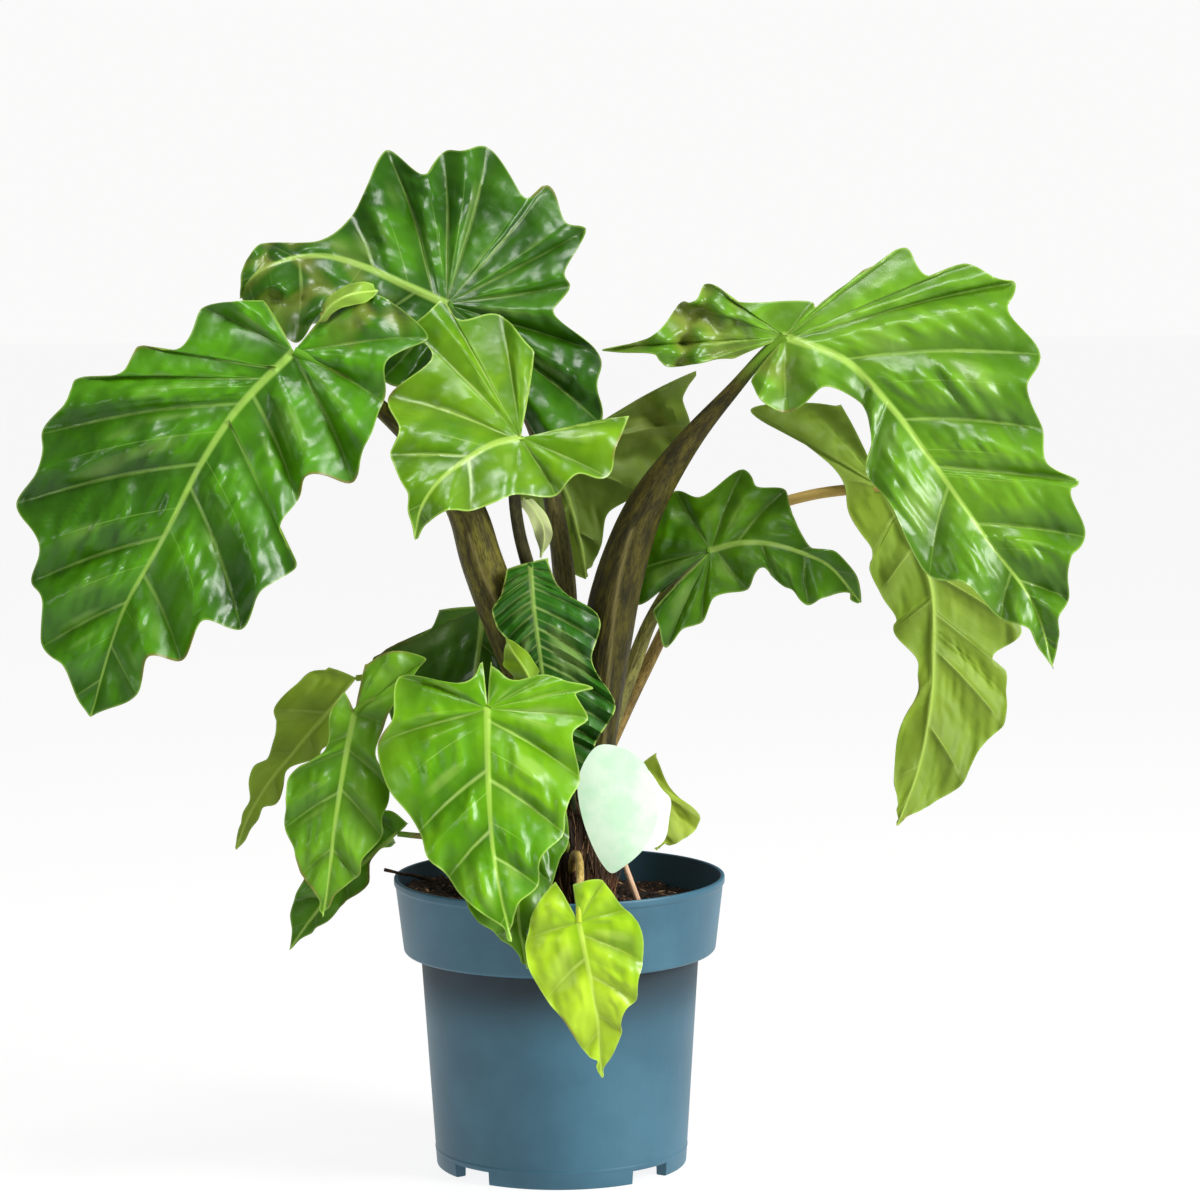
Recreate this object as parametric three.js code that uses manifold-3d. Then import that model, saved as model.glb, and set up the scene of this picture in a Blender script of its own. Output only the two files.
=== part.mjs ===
// A potted alocasia portodora: a plastic nursery pot filled with soil, a fibrous crown, and
// sixteen heart-shaped leaves on tapering stems, with a blank plant label on a wooden stick.
// Millimetres, +Z up. The origin is the centre of the pot's foot, on the surface it stands on.
import * as THREE from "three";
import { mergeVertices } from "three/addons/utils/BufferGeometryUtils.js";
import Module from "manifold-3d";

const wasm = await Module();
wasm.setup();

const rimDiameter = 240;
const potHeight = 211;
const footDiameter = 182;
const potWall = 2.2;
const rimWall = 3;
const beadHeight = 6;
const beadDepth = 1.2;
const softEdge = 0.8;
const bandBottom = 156.5;
const bandDiameter = 226.5;
const shoulderDiameter = 202;
const ledgeTop = bandBottom + 1.7;
const footRingHeight = 11;
const footRingWidth = 8;
const footPadDiameter = 28;
const floorThickness = 2.5;
const notchCount = 4;
const notchWidth = 34;
const notchHeight = 9.5;
const potSegments = 36;

const soilLevel = 188;
const soilHeap = 17;
const soilLump = 2.2;
const soilPlay = 0.5;
const clearance = 0.3;
const thickStem = 12;

const bladeThickness = 0.8;
const bladeRows = [0.12, 0.42, 0.74, 1];
const ribSteps = 12;
const veinLag = 0.45;
const veinDepth = 0.9;
const sinusRib = 0.25;
const rippleSpan = 16;
const rippleReach = 30;

const eye = { x: 31, distance: 3000, height: 737 };

// Leaves and stems are laid out as they look from in front: x and z are read in the plane through
// the pot's axis, and each point then slides along its line of sight to its own depth behind it.
function seen(x, z, depth) {
  const reach = (eye.distance + depth) / eye.distance;
  return new THREE.Vector3(eye.x + (x - eye.x) * reach, depth, eye.height + (z - eye.height) * reach);
}

// Each leaf has its rib from the stem to the tip as [x, z, depth], and two edges as [x, z] from the
// rear lobe to the tip. The first edge point ends a side vein, the next is the hollow between two
// veins, and so on in turn. An edge point may add a depth of its own.
// turn and lean are the blade's slope in depth along x and z, and droop bends the edges back.
// A stem runs along its route and ends at the start of its leaf's rib.
const leaves = [
  {
    name: "left_leaf", face: 1, turn: 0, lean: 0.42, droop: 9, wave: 4, quilt: 3, ribDepth: 4.5,
    color: 0x3f7d12,
    rib: [[-187, 592, -62], [-227, 552, -78], [-254, 513, -92], [-282, 460, -104],
      [-314, 403, -112], [-338, 329, -116]],
    left: [[-207, 627], [-229, 627], [-252, 623], [-267, 594], [-299, 596], [-309, 578],
      [-342, 572], [-351, 560], [-368, 535], [-371, 511], [-388, 485], [-373, 455], [-378, 429],
      [-370, 410], [-372, 381], [-357, 366], [-348, 345]],
    right: [[-146, 640], [-122, 630], [-91, 601], [-121, 584], [-123, 555], [-137, 526],
      [-146, 499], [-177, 504], [-186, 485], [-199, 465], [-187, 437], [-213, 422], [-229, 392],
      [-256, 398], [-271, 369], [-294, 373], [-304, 346]],
    stem: {
      route: [[1, 252, -7], [-2, 282, -9], [-9, 318, -13], [-23, 358, -17], [-39, 400, -21],
        [-54, 441, -26], [-65, 477, -32], [-91, 517, -42], [-120, 546, -52], [-155, 575, -60]],
      widths: [20, 24, 28, 29, 30, 30, 27, 19, 13, 9, 7],
      color: 0x5f5226,
    },
  },
  {
    name: "top_leaf", face: 1, turn: 0, lean: 0.6, droop: 0, wave: 3.5, quilt: 3, ribDepth: 4.5,
    color: 0x35700f,
    rib: [[-77, 625, 15], [-107, 639, 12], [-136, 652, 10], [-164, 660, 4], [-193, 657, -8],
      [-214, 647, -16], [-225, 630, -12]],
    left: [[-14, 530, 20], [7, 525, 22], [32, 538, 24], [30, 566, 20], [31, 591, 12], [0, 619],
      [12, 637], [8, 647], [23, 677], [9, 684], [-3, 708], [-20, 701], [-47, 737], [-63, 735],
      [-79, 732], [-93, 717], [-119, 734], [-130, 714], [-144, 689], [-168, 671], [-205, 670],
      [-218, 659], [-225, 643]],
    right: [[-91, 579], [-109, 568], [-123, 572], [-124, 596], [-145, 607], [-173, 613],
      [-185, 598], [-200, 616], [-215, 623]],
    stem: {
      route: [[10, 252, 13], [9, 300, 16], [8, 350, 18], [7, 397, 20], [5, 433, 22],
        [-1, 476, 24], [-12, 527, 26], [-36, 577, 26], [-61, 610, 23]],
      widths: [14, 15, 16, 16.5, 16, 14, 11, 9, 7.5, 6.5],
      color: 0x6a6430,
    },
  },
  {
    name: "lime_leaf", face: 1, turn: 0.12, lean: 0.5, droop: 6, wave: 3, quilt: 2.2, ribDepth: 3.5,
    color: 0x86bd12,
    rib: [[-25, 529, -66], [-46, 524, -84], [-68, 511, -102], [-85, 497, -114], [-97, 479, -120],
      [-102, 456, -118]],
    left: [[-15, 590], [-28, 605], [-40, 617], [-69, 613], [-79, 627], [-89, 621], [-103, 608],
      [-89, 589], [-120, 560], [-113, 535], [-119, 516], [-108, 494], [-106, 476]],
    right: [[53, 544], [46, 524], [35, 499], [14, 502], [0, 487], [-32, 488], [-62, 478],
      [-80, 477], [-93, 468]],
    stem: {
      route: [[-2, 252, 10], [-3, 300, 9], [-3, 340, 4], [-8, 378, -6], [-18, 426, -20],
        [-27, 462, -34], [-30, 491, -48], [-28, 514, -58]],
      widths: [8, 9, 10, 10, 10, 9, 8.5, 7, 6],
      color: 0x3b3f1c,
    },
  },
  {
    name: "right_leaf", face: 1, turn: -0.06, lean: 0.42, droop: 6, wave: 4, quilt: 3,
    ribDepth: 4.5, color: 0x458514,
    rib: [[165, 600, -20], [207, 583, -30], [240, 550, -42], [272, 507, -54], [310, 453, -66],
      [344, 405, -74], [358, 359, -78]],
    left: [[129, 585], [106, 582], [80, 580], [70, 587], [34, 592], [66, 600], [91, 624],
      [101, 627], [108, 638], [132, 626], [184, 624], [188, 622], [214, 642], [228, 650],
      [252, 663], [265, 642], [294, 651], [310, 643], [330, 636], [325, 621], [347, 587],
      [339, 564], [350, 533], [352, 510], [377, 494], [371, 489], [379, 454], [369, 439],
      [370, 410], [362, 394], [362, 376]],
    right: [[141, 570], [148, 555], [166, 546], [195, 563], [220, 551], [227, 525], [222, 502],
      [243, 476], [268, 426], [294, 421], [319, 395], [341, 388], [347, 376]],
    stem: {
      route: [[24, 252, -5], [25, 285, -8], [28, 325, -11], [36, 382, -13], [45, 426, -15],
        [63, 476, -17], [96, 526, -18], [128, 563, -18], [154, 592, -18]],
      widths: [23, 27, 32, 35, 34, 28, 17, 10, 7.5, 6.5],
      color: 0x5b5228,
    },
  },
  {
    name: "mid_right_leaf", face: 1, turn: -0.3, lean: 0.25, droop: 6, wave: 2.5, quilt: 2,
    ribDepth: 3, color: 0x3f7f14,
    rib: [[111, 447, 2], [133, 452, -8], [155, 451, -18], [175, 445, -26], [196, 435, -32],
      [219, 408, -36]],
    left: [[77, 417, 6], [59, 408, 6], [57, 433], [71, 465], [86, 490], [104, 484], [135, 504],
      [144, 494], [165, 490], [171, 469], [183, 450], [198, 447], [214, 430]],
    right: [[70, 405, -8], [71, 396, -6], [79, 377], [91, 389], [105, 395], [114, 412], [136, 419],
      [147, 433], [158, 424], [169, 416], [181, 405], [192, 411], [208, 416], [212, 412],
      [215, 409.5]],
    stem: {
      route: [[27, 252, 11], [32, 300, 17], [42, 332, 24], [54, 362, 32], [67, 395, 37],
        [84, 424, 34], [101, 441, 20]],
      widths: [11, 12, 13, 12, 10, 8, 6.5, 5.5],
      color: 0x6b6a2e,
    },
  },
  {
    name: "far_right_leaf", face: -1, turn: 0, lean: 0.15, droop: 8, wave: 3, quilt: 2,
    ribDepth: 4, color: 0x5f8a18,
    rib: [[235, 491, 48], [250, 460, 50], [268, 424, 46], [271, 380, 38], [269, 333, 26],
      [260, 286, 12], [245, 245, 0]],
    left: [[205, 551], [175, 553], [140, 549], [177, 523], [205, 497], [212, 471], [227, 444],
      [224, 434], [233, 415], [246, 395], [243, 388], [260, 364], [260, 344], [249, 319],
      [242, 279], [246, 262], [246, 251]],
    right: [[272, 532], [308, 503], [326, 452], [319, 416], [334, 386], [314, 367], [324, 357],
      [324, 336], [322, 318], [305, 301], [293, 277], [272, 262], [253, 251]],
    stem: {
      route: [[20, 252, 20], [31, 290, 28], [46, 325, 38], [63, 360, 48], [90, 412, 56],
        [121, 455, 62], [153, 477, 63], [182, 486, 62], [211, 490, 59]],
      widths: [8, 9.5, 10, 9.5, 9, 8.5, 8, 8, 8, 7],
      color: 0xa58a46,
    },
  },
  {
    name: "back_leaf", face: -1, turn: 0, lean: 0.1, droop: 5, wave: 2.5, quilt: 2, ribDepth: 3,
    color: 0x4b7416,
    rib: [[-5, 518, 52], [4, 497, 56], [12, 473, 56], [18, 449, 52], [21, 427, 46]],
    left: [[-29, 488], [-18, 475], [-6, 458], [2, 443], [13, 432]],
    right: [[101, 576], [92, 556], [97, 538], [80, 515], [60, 489], [37, 473], [32, 451], [25, 439],
      [22, 431]],
    stem: {
      route: [[2, 252, 18], [2, 300, 28], [3, 360, 42], [2, 430, 56], [-1, 490, 64]],
      widths: [7, 8, 8, 7, 6, 5],
      color: 0x5f6a2a,
    },
  },
  {
    name: "low_left_back_leaf", face: -1, turn: 0, lean: 0.2, droop: 6, wave: 2, quilt: 1.5,
    ribDepth: 2.5, color: 0x52801a,
    rib: [[-145, 356, -26], [-163, 335, -34], [-187, 307, -44], [-211, 278, -52], [-226, 253, -58],
      [-234, 231, -60]],
    left: [[-165, 364], [-186, 355], [-206, 334], [-204, 322], [-210, 302], [-221, 289],
      [-225, 269], [-230, 253], [-233, 242]],
    right: [[-150, 311], [-168, 305], [-177, 298], [-195, 290], [-203, 266], [-215, 261],
      [-223, 245]],
    stem: {
      route: [[6, 236, -2], [-18, 266, -8], [-45, 310, -24], [-88, 343, -34], [-125, 357, -34]],
      widths: [7, 7, 6.5, 6, 5, 4.5],
      color: 0x6d6c34,
    },
  },
  {
    name: "low_left_leaf", face: 1, turn: 0, lean: 0.3, droop: 6, wave: 2.5, quilt: 2, ribDepth: 3,
    color: 0x4d8a12,
    rib: [[-147, 331, -72], [-153, 303, -84], [-159, 270, -96], [-164, 237, -106],
      [-168, 204, -112], [-172, 181, -114]],
    left: [[-154, 346], [-166, 330], [-168, 308], [-179, 297], [-193, 286], [-198, 267],
      [-200, 247], [-191, 227], [-187, 213], [-179, 199], [-174, 188]],
    right: [[-139, 366], [-118, 375], [-95, 370], [-111, 347], [-126, 321], [-132, 300],
      [-122, 274], [-127, 256], [-128, 240], [-142, 223], [-147, 209], [-161, 199], [-168, 189]],
    stem: {
      route: [[8, 238, -12], [-14, 270, -30], [-52, 314, -50], [-100, 340, -62],
        [-135, 339, -68]],
      widths: [8, 8, 7, 6.5, 5.5, 5],
      color: 0x66702a,
    },
  },
  {
    name: "low_left_under_leaf", face: 1, turn: 0, lean: 0.2, droop: 5, wave: 2, quilt: 1.5,
    ribDepth: 2.5, color: 0x3f7a14,
    rib: [[-117, 242, -34], [-134, 228, -46], [-156, 208, -58], [-176, 186, -66], [-197, 157, -72]],
    left: [[-109, 250], [-120, 258], [-134, 256], [-155, 245], [-175, 230], [-186, 208],
      [-193, 194], [-195, 175]],
    right: [[-119, 235], [-127, 232], [-137, 220], [-140, 206], [-153, 195], [-161, 184],
      [-176, 172], [-187, 166]],
    stem: {
      route: [[6, 226, -6], [-18, 236, -18], [-50, 243, -25], [-95, 240, -31]],
      widths: [6, 6, 5, 4.5, 4],
      color: 0x8a7f4a,
    },
  },
  {
    name: "shaded_leaf", face: 1, turn: 0, lean: 0, droop: 5, wave: 2, quilt: 1.5, ribDepth: 3,
    color: 0x2f6410,
    rib: [[-53, 408, 14], [-56, 383, 12], [-59, 361, 8], [-63, 328, 0], [-70, 292, -10]],
    left: [[-85, 405], [-94, 390], [-111, 383], [-123, 376], [-134, 371], [-125, 340], [-115, 314]],
    right: [[-40, 394], [-38, 386], [-36, 378], [-33, 370], [-30, 356], [-31, 328], [-46, 303]],
    stem: {
      route: [[-6, 250, 4], [-12, 290, 12], [-20, 340, 20], [-34, 392, 26], [-47, 415, 26]],
      widths: [7, 8, 7.5, 7, 6.5, 5],
      color: 0x4f5a24,
    },
  },
  {
    name: "front_leaf", face: 1, turn: 0, lean: 0.3, droop: 8, wave: 3, quilt: 2.2, ribDepth: 3.5,
    color: 0x74ab10,
    rib: [[-51, 333, -98], [-51, 295, -116], [-50, 259, -130], [-47, 222, -144], [-41, 189, -156],
      [-35, 162, -160]],
    left: [[-54, 367], [-67, 352], [-114, 356], [-121, 327], [-131, 308], [-122, 272], [-101, 244],
      [-96, 227], [-79, 209], [-65, 190], [-44, 174]],
    right: [[-48, 367], [-36, 355], [-6, 357], [7, 353], [25, 348], [14, 344], [21, 325], [10, 313],
      [16, 282], [6, 263], [4, 242], [-13, 225], [-15, 203], [-31, 188], [-35, 174]],
    stem: {
      route: [[8, 236, -12], [-9, 270, -36], [-28, 304, -60], [-41, 328, -79], [-48, 336, -88]],
      widths: [9, 9, 8, 7, 6, 5.5],
      color: 0x6b7a1e,
    },
  },
  {
    name: "front_under_leaf", face: 1, turn: 0, lean: 0.25, droop: 5, wave: 2, quilt: 1.5,
    ribDepth: 2.5, color: 0x4f8c12,
    rib: [[-27, 266, -84], [-28, 233, -104], [-30, 200, -124], [-29, 170, -136], [-24, 142, -142]],
    left: [[-43, 281], [-56, 266], [-66, 237], [-71, 211], [-66, 187], [-55, 174], [-42, 164],
      [-32, 153], [-27, 146]],
    right: [[-10, 279], [2, 266], [7, 239], [0, 220], [-5, 203], [-16, 185], [-24, 167], [-21, 156],
      [-21.5, 149]],
    stem: {
      route: [[8, 218, -10], [2, 240, -32], [-10, 262, -58], [-22, 271, -76]],
      widths: [7, 7, 6, 5, 4.5],
      color: 0x6f7a2c,
    },
  },
  {
    name: "young_leaf", face: 1, turn: 0, lean: 0, droop: 6, wave: 2.5, quilt: 2, ribDepth: 2.5,
    color: 0x1f5a14,
    rib: [[-19, 439, -42], [-17, 408, -50], [-13, 375, -54], [-8, 339, -56], [1, 306, -56],
      [14, 273, -54]],
    left: [[-36, 434], [-41, 415], [-47, 407], [-42, 391], [-32, 375], [-29, 353], [-21, 324],
      [-10, 299], [3, 280]],
    right: [[-6, 442], [2, 420], [30, 397], [25, 368], [42, 335], [28, 309], [24, 291]],
    stem: {
      route: [[11, 246, -16], [9, 275, -25], [5, 320, -33], [-3, 370, -38], [-11, 410, -38]],
      widths: [6, 6, 5.5, 5, 4.5, 4],
      color: 0x33401c,
    },
  },
  {
    name: "small_front_leaf", face: 1, turn: 0, lean: 0.12, droop: 8, wave: 2, quilt: 1.5,
    ribDepth: 2.5, color: 0x9acb16,
    rib: [[14, 176, -146], [18, 155, -150], [23, 129, -152], [27, 103, -150], [30, 61, -146]],
    left: [[-3, 206], [-16, 186], [-25, 164], [-22, 144], [-9, 118], [3, 101], [16, 82], [25, 74],
      [27, 68]],
    right: [[10, 203], [22, 207], [31, 206], [37, 199], [49, 184], [57, 176], [61, 147], [57, 129],
      [55, 116], [46, 107], [44, 94], [35, 76], [31, 68]],
    stem: {
      route: [[9, 206, -12], [10, 222, -34], [13, 226, -70], [15, 217, -105], [15, 202, -132],
        [14, 187, -143]],
      widths: [6, 6, 5.5, 5.5, 5, 4.5, 4],
      color: 0xb59a4e,
    },
  },
  {
    name: "label_side_leaf", face: -1, turn: 0, lean: 0, droop: 5, wave: 2, quilt: 1.5,
    ribDepth: 2.5, color: 0x7f9f2a,
    rib: [[57, 289, -14], [64, 272, -20], [69, 250, -26], [71, 229, -28]],
    left: [[46, 290], [42, 273], [45, 254], [55, 239], [66, 231]],
    right: [[71, 300], [80, 275], [102, 251], [97, 241], [85, 233], [79, 233], [73, 231]],
    stem: {
      route: [[22, 230, 2], [34, 256, -2], [44, 279, -6], [52, 291, -10]],
      widths: [6, 6, 5, 4.5, 4],
      color: 0x7f8a3a,
    },
  },
];

const crown = {
  route: [[17, 150, 0], [17, 185, 0], [16, 212, 0], [15, 238, 0], [14, 260, 0], [13, 268, 0]],
  widths: [30, 44, 48, 51, 50, 34],
};

const labelFront = {
  depth: -80,
  outline: [[38, 306], [28, 305], [19, 294], [14, 279], [15, 262], [21, 240], [31, 219], [38, 212],
    [46, 216], [60, 228], [69, 243], [72, 261], [69, 276], [63, 291], [54, 300]],
};
const labelBack = {
  depth: -78.8,
  outline: [[40, 296], [62, 290], [75, 273], [81, 266], [80, 252], [77, 237], [71, 231], [58, 229],
    [42, 224], [30, 240], [27, 270]],
};
const labelThickness = 0.8;
const stick = { low: [71, -75.6, 164], high: [28, -75.6, 285], width: 4.2 };
const twig = { low: [-92, 8, 205], high: [-127, 2, 215.5], width: 2.4 };

function welded(geometry) {
  const bare = geometry.index ? geometry.toNonIndexed() : geometry.clone();
  bare.deleteAttribute("normal");
  bare.deleteAttribute("uv");
  return mergeVertices(bare, 1e-3);
}

function solidOf(geometry) {
  const merged = welded(geometry);
  const positions = merged.attributes.position.array;
  const corners = merged.index.array;
  const kept = [];
  for (let i = 0; i < corners.length; i += 3) {
    const [a, b, c] = [corners[i], corners[i + 1], corners[i + 2]];
    if (a !== b && b !== c && c !== a) {
      kept.push(a, b, c);
    }
  }
  return new wasm.Manifold(new wasm.Mesh({
    numProp: 3,
    vertProperties: new Float32Array(positions),
    triVerts: new Uint32Array(kept),
  }));
}

function largestOf(solid) {
  const bodies = solid.decompose();
  bodies.sort((first, second) => second.volume() - first.volume());
  return bodies[0];
}

function geometryOf(solid) {
  const mesh = solid.getMesh();
  const geometry = new THREE.BufferGeometry();
  geometry.setAttribute("position", new THREE.BufferAttribute(new Float32Array(mesh.vertProperties), 3));
  geometry.setIndex(Array.from(mesh.triVerts));
  geometry.computeVertexNormals();
  return geometry;
}

function meshGeometry(points, triangles) {
  const geometry = new THREE.BufferGeometry();
  geometry.setFromPoints(points);
  geometry.setIndex(triangles.flat());
  return geometry;
}

// Where an edge point's vein leaves the rib: a little nearer the stem than the closest rib point.
function rootSteps(rib, edge) {
  const fineSteps = 10 * ribSteps;
  const fine = rib.getSpacedPoints(fineSteps);
  const length = rib.getLength();
  let last = 0;
  return edge.map(([x, z]) => {
    const gaps = fine.map((point) => Math.hypot(point.x - x, point.z - z));
    const nearest = gaps.indexOf(Math.min(...gaps));
    const along = (nearest / fineSteps) - (veinLag * gaps[nearest]) / length;
    const step = Math.round(THREE.MathUtils.clamp(along, 0, 1) * ribSteps);
    last = Math.min(Math.max(last, step), ribSteps - 1);
    return last;
  });
}

// How close the neighbouring veins and hollows run, a share t of the way out from the rib.
function spacingAt(spine, roots, edge, k, t) {
  const root = spine[roots[k]];
  const x = THREE.MathUtils.lerp(root.x, edge[k][0], t);
  const z = THREE.MathUtils.lerp(root.z, edge[k][1], t);
  const gaps = [k - 1, k + 1].filter((i) => i >= 0 && i < edge.length).map((i) => {
    const start = spine[roots[i]];
    const [spanX, spanZ] = [edge[i][0] - start.x, edge[i][1] - start.z];
    return Math.abs((x - start.x) * spanZ - (z - start.z) * spanX) / Math.hypot(spanX, spanZ);
  });
  return Math.min(...gaps);
}

// The blade's middle surface in layout: points as Vector3(x, depth, z), with the extra thickness of
// ribs and veins under each, and triangles that all face the viewer.
function layBlade(leaf) {
  const rib = new THREE.CatmullRomCurve3(leaf.rib.map(([x, z, depth]) => new THREE.Vector3(x, depth, z)));
  const spine = rib.getSpacedPoints(ribSteps);
  const points = [...spine];
  const ridges = spine.map((_, step) => leaf.ribDepth * (step ? 1 - step / ribSteps : sinusRib));
  const triangles = [];
  for (const edge of [leaf.left, leaf.right]) {
    const roots = [...rootSteps(rib, edge), ribSteps];
    const columns = edge.map(([x, z, extra = 0], k) => {
      const root = spine[roots[k]];
      const width = Math.hypot(x - root.x, z - root.z);
      const isVein = k % 2 === 0;
      const sign = (isVein ? 1 : -1) * leaf.face;
      return bladeRows.map((t) => {
        const slope = leaf.turn * (x - root.x) + leaf.lean * (z - root.z) + extra;
        const bend = leaf.droop * ((t * width) / 100) ** 2;
        const fade = Math.min(1, width / rippleReach, spacingAt(spine, roots, edge, k, t) / rippleSpan);
        const ripple = sign * fade * (leaf.wave * t * t + leaf.quilt * Math.sin(Math.PI * t));
        const depth = root.y + slope * t + bend + ripple;
        points.push(new THREE.Vector3(
          THREE.MathUtils.lerp(root.x, x, t), depth, THREE.MathUtils.lerp(root.z, z, t)));
        ridges.push(isVein ? veinDepth * fade * (1 - t) : 0);
        return points.length - 1;
      });
    });
    columns.push(bladeRows.map(() => ribSteps));
    const half = [];
    for (let k = 0; k < columns.length - 1; k += 1) {
      const [near, far] = [columns[k], columns[k + 1]];
      for (let step = roots[k]; step < roots[k + 1]; step += 1) {
        half.push([near[0], step, step + 1]);
      }
      half.push([near[0], roots[k + 1], far[0]]);
      for (let row = 0; row < bladeRows.length - 1; row += 1) {
        half.push([near[row], far[row], far[row + 1]], [near[row], far[row + 1], near[row + 1]]);
      }
    }
    triangles.push(...facingViewer(points, half));
  }
  return { points, ridges, triangles };
}

function facingViewer(points, half) {
  const real = half.filter(([a, b, c]) => a !== b && b !== c && c !== a);
  const areas = real.map(([a, b, c]) => {
    const [p, q, r] = [points[a], points[b], points[c]];
    return (q.x - p.x) * (r.z - p.z) - (q.z - p.z) * (r.x - p.x);
  });
  const isTurned = areas.reduce((sum, area) => sum + area, 0) < 0;
  return isTurned ? real.map(([a, b, c]) => [a, c, b]) : real;
}

// A thin solid round the middle surface, with the ribs and veins raised on the underside.
function bladeGeometry(leaf, swell = 0) {
  const { points, ridges, triangles } = layBlade(leaf);
  const middle = points.map((point) => seen(point.x, point.z, point.y));
  const normals = middle.map(() => new THREE.Vector3());
  for (const [a, b, c] of triangles) {
    const edgeOne = middle[b].clone().sub(middle[a]);
    const edgeTwo = middle[c].clone().sub(middle[a]);
    const normal = edgeOne.cross(edgeTwo);
    for (const corner of [a, b, c]) {
      normals[corner].add(normal);
    }
  }
  const half = bladeThickness / 2 + swell;
  const offset = (i, side) => {
    const isUnder = side !== leaf.face;
    const reach = side * (half + (isUnder ? ridges[i] : 0));
    return middle[i].clone().addScaledVector(normals[i].normalize(), reach);
  };
  const front = middle.map((_, i) => offset(i, 1));
  const back = middle.map((_, i) => offset(i, -1));
  const count = middle.length;
  const shell = [];
  const openEdges = new Map();
  for (const [a, b, c] of triangles) {
    shell.push([a, b, c], [a + count, c + count, b + count]);
    for (const [from, to] of [[a, b], [b, c], [c, a]]) {
      const twin = `${to},${from}`;
      if (openEdges.has(twin)) {
        openEdges.delete(twin);
      } else {
        openEdges.set(`${from},${to}`, [from, to]);
      }
    }
  }
  for (const [from, to] of openEdges.values()) {
    shell.push([to, from, from + count], [to, from + count, to + count]);
  }
  return meshGeometry([...front, ...back], shell);
}

// A tapering stalk along a route of [x, z, depth], with a width at each point of the route and,
// where flute is above 0, ridges that run along it.
function stalkGeometry({ route, widths }, { sides = 8, steps = 2, flute = 0, swell = 0 } = {}) {
  const curve = new THREE.CatmullRomCurve3(route.map(([x, z, depth]) => seen(x, z, depth)));
  const spans = route.length - 1;
  const count = spans * steps;
  const points = [];
  const triangles = [];
  const across = new THREE.Vector3(1, 0, 0);
  for (let i = 0; i <= count; i += 1) {
    const u = i / count;
    const center = curve.getPoint(u);
    const forward = curve.getTangent(u);
    across.addScaledVector(forward, -across.dot(forward)).normalize();
    const up = new THREE.Vector3().crossVectors(forward, across);
    const knot = Math.min(Math.floor(u * spans), spans - 1);
    const width = THREE.MathUtils.lerp(widths[knot], widths[knot + 1], u * spans - knot);
    for (let side = 0; side < sides; side += 1) {
      const angle = (side / sides) * 2 * Math.PI;
      const radius = (width / 2) * (1 + (side % 2 ? flute : -flute)) + swell;
      points.push(center.clone()
        .addScaledVector(across, radius * Math.cos(angle))
        .addScaledVector(up, radius * Math.sin(angle)));
    }
  }
  for (let i = 0; i < count; i += 1) {
    for (let side = 0; side < sides; side += 1) {
      const next = (side + 1) % sides;
      const [a, b] = [i * sides + side, i * sides + next];
      const [c, d] = [a + sides, b + sides];
      triangles.push([a, b, d], [a, d, c]);
    }
  }
  const ends = [[0, curve.getPoint(0)], [count * sides, curve.getPoint(1)]];
  for (const [start, center] of ends) {
    const hub = points.length;
    points.push(center);
    for (let side = 0; side < sides; side += 1) {
      const [a, b] = [start + side, start + ((side + 1) % sides)];
      triangles.push(start === 0 ? [hub, b, a] : [hub, a, b]);
    }
  }
  return meshGeometry(points, triangles);
}

function rodGeometry({ low, high, width }, swell = 0) {
  const [start, end] = [new THREE.Vector3(...low), new THREE.Vector3(...high)];
  const direction = end.clone().sub(start);
  const radius = width / 2 + swell;
  const rod = new THREE.CylinderGeometry(radius, radius, direction.length() + 2 * swell, 10);
  rod.applyQuaternion(new THREE.Quaternion().setFromUnitVectors(
    new THREE.Vector3(0, 1, 0), direction.clone().normalize()));
  return rod.translate(...start.add(end).multiplyScalar(0.5).toArray());
}

function plateGeometry({ outline, depth }) {
  const placed = outline.map(([x, z]) => seen(x, z, depth));
  const shape = new THREE.Shape(placed.map((point) => new THREE.Vector2(point.x, point.z)));
  const plate = new THREE.ExtrudeGeometry(shape, { depth: labelThickness, bevelEnabled: false });
  plate.rotateX(Math.PI / 2);
  return plate.translate(0, depth + labelThickness, 0);
}

function turned(profile, segments) {
  const points = profile.map(([radius, z]) => new THREE.Vector2(radius, z));
  const lathe = new THREE.LatheGeometry(points, segments);
  return lathe.rotateX(Math.PI / 2);
}

// The pot: a flared body with a straight band under a beaded rim, and a foot ring with four notches.
function potSolid() {
  const [rim, foot] = [rimDiameter / 2, footDiameter / 2];
  const [band, shoulder] = [bandDiameter / 2, shoulderDiameter / 2];
  const ringInner = foot - footRingWidth;
  const floorTop = footRingHeight + floorThickness;
  const padRadius = footPadDiameter / 2;
  const body = solidOf(turned([
    [0, 0], [padRadius, 0], [padRadius, footRingHeight], [ringInner, footRingHeight], [ringInner, 0],
    [foot - softEdge, 0], [foot, softEdge], [foot + softEdge, footRingHeight],
    [shoulder, bandBottom - softEdge], [band - 2 * softEdge, bandBottom], [band, bandBottom + 2 * softEdge],
    [rim - beadDepth, potHeight - beadHeight], [rim, potHeight - beadHeight + beadDepth],
    [rim, potHeight - softEdge], [rim - softEdge, potHeight], [rim - rimWall, potHeight],
    [band - potWall, ledgeTop + softEdge], [shoulder - potWall, ledgeTop],
    [foot - potWall, floorTop], [0, floorTop],
  ], potSegments));
  const reach = new THREE.BoxGeometry(notchWidth, 2 * footRingWidth, 2 * notchHeight);
  let notched = body;
  for (let i = 0; i < notchCount; i += 1) {
    const notch = reach.clone().translate(0, foot - footRingWidth / 2, 0);
    notch.rotateZ(((i + 0.5) * 2 * Math.PI) / notchCount);
    notched = notched.subtract(solidOf(notch));
  }
  return notched;
}

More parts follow.
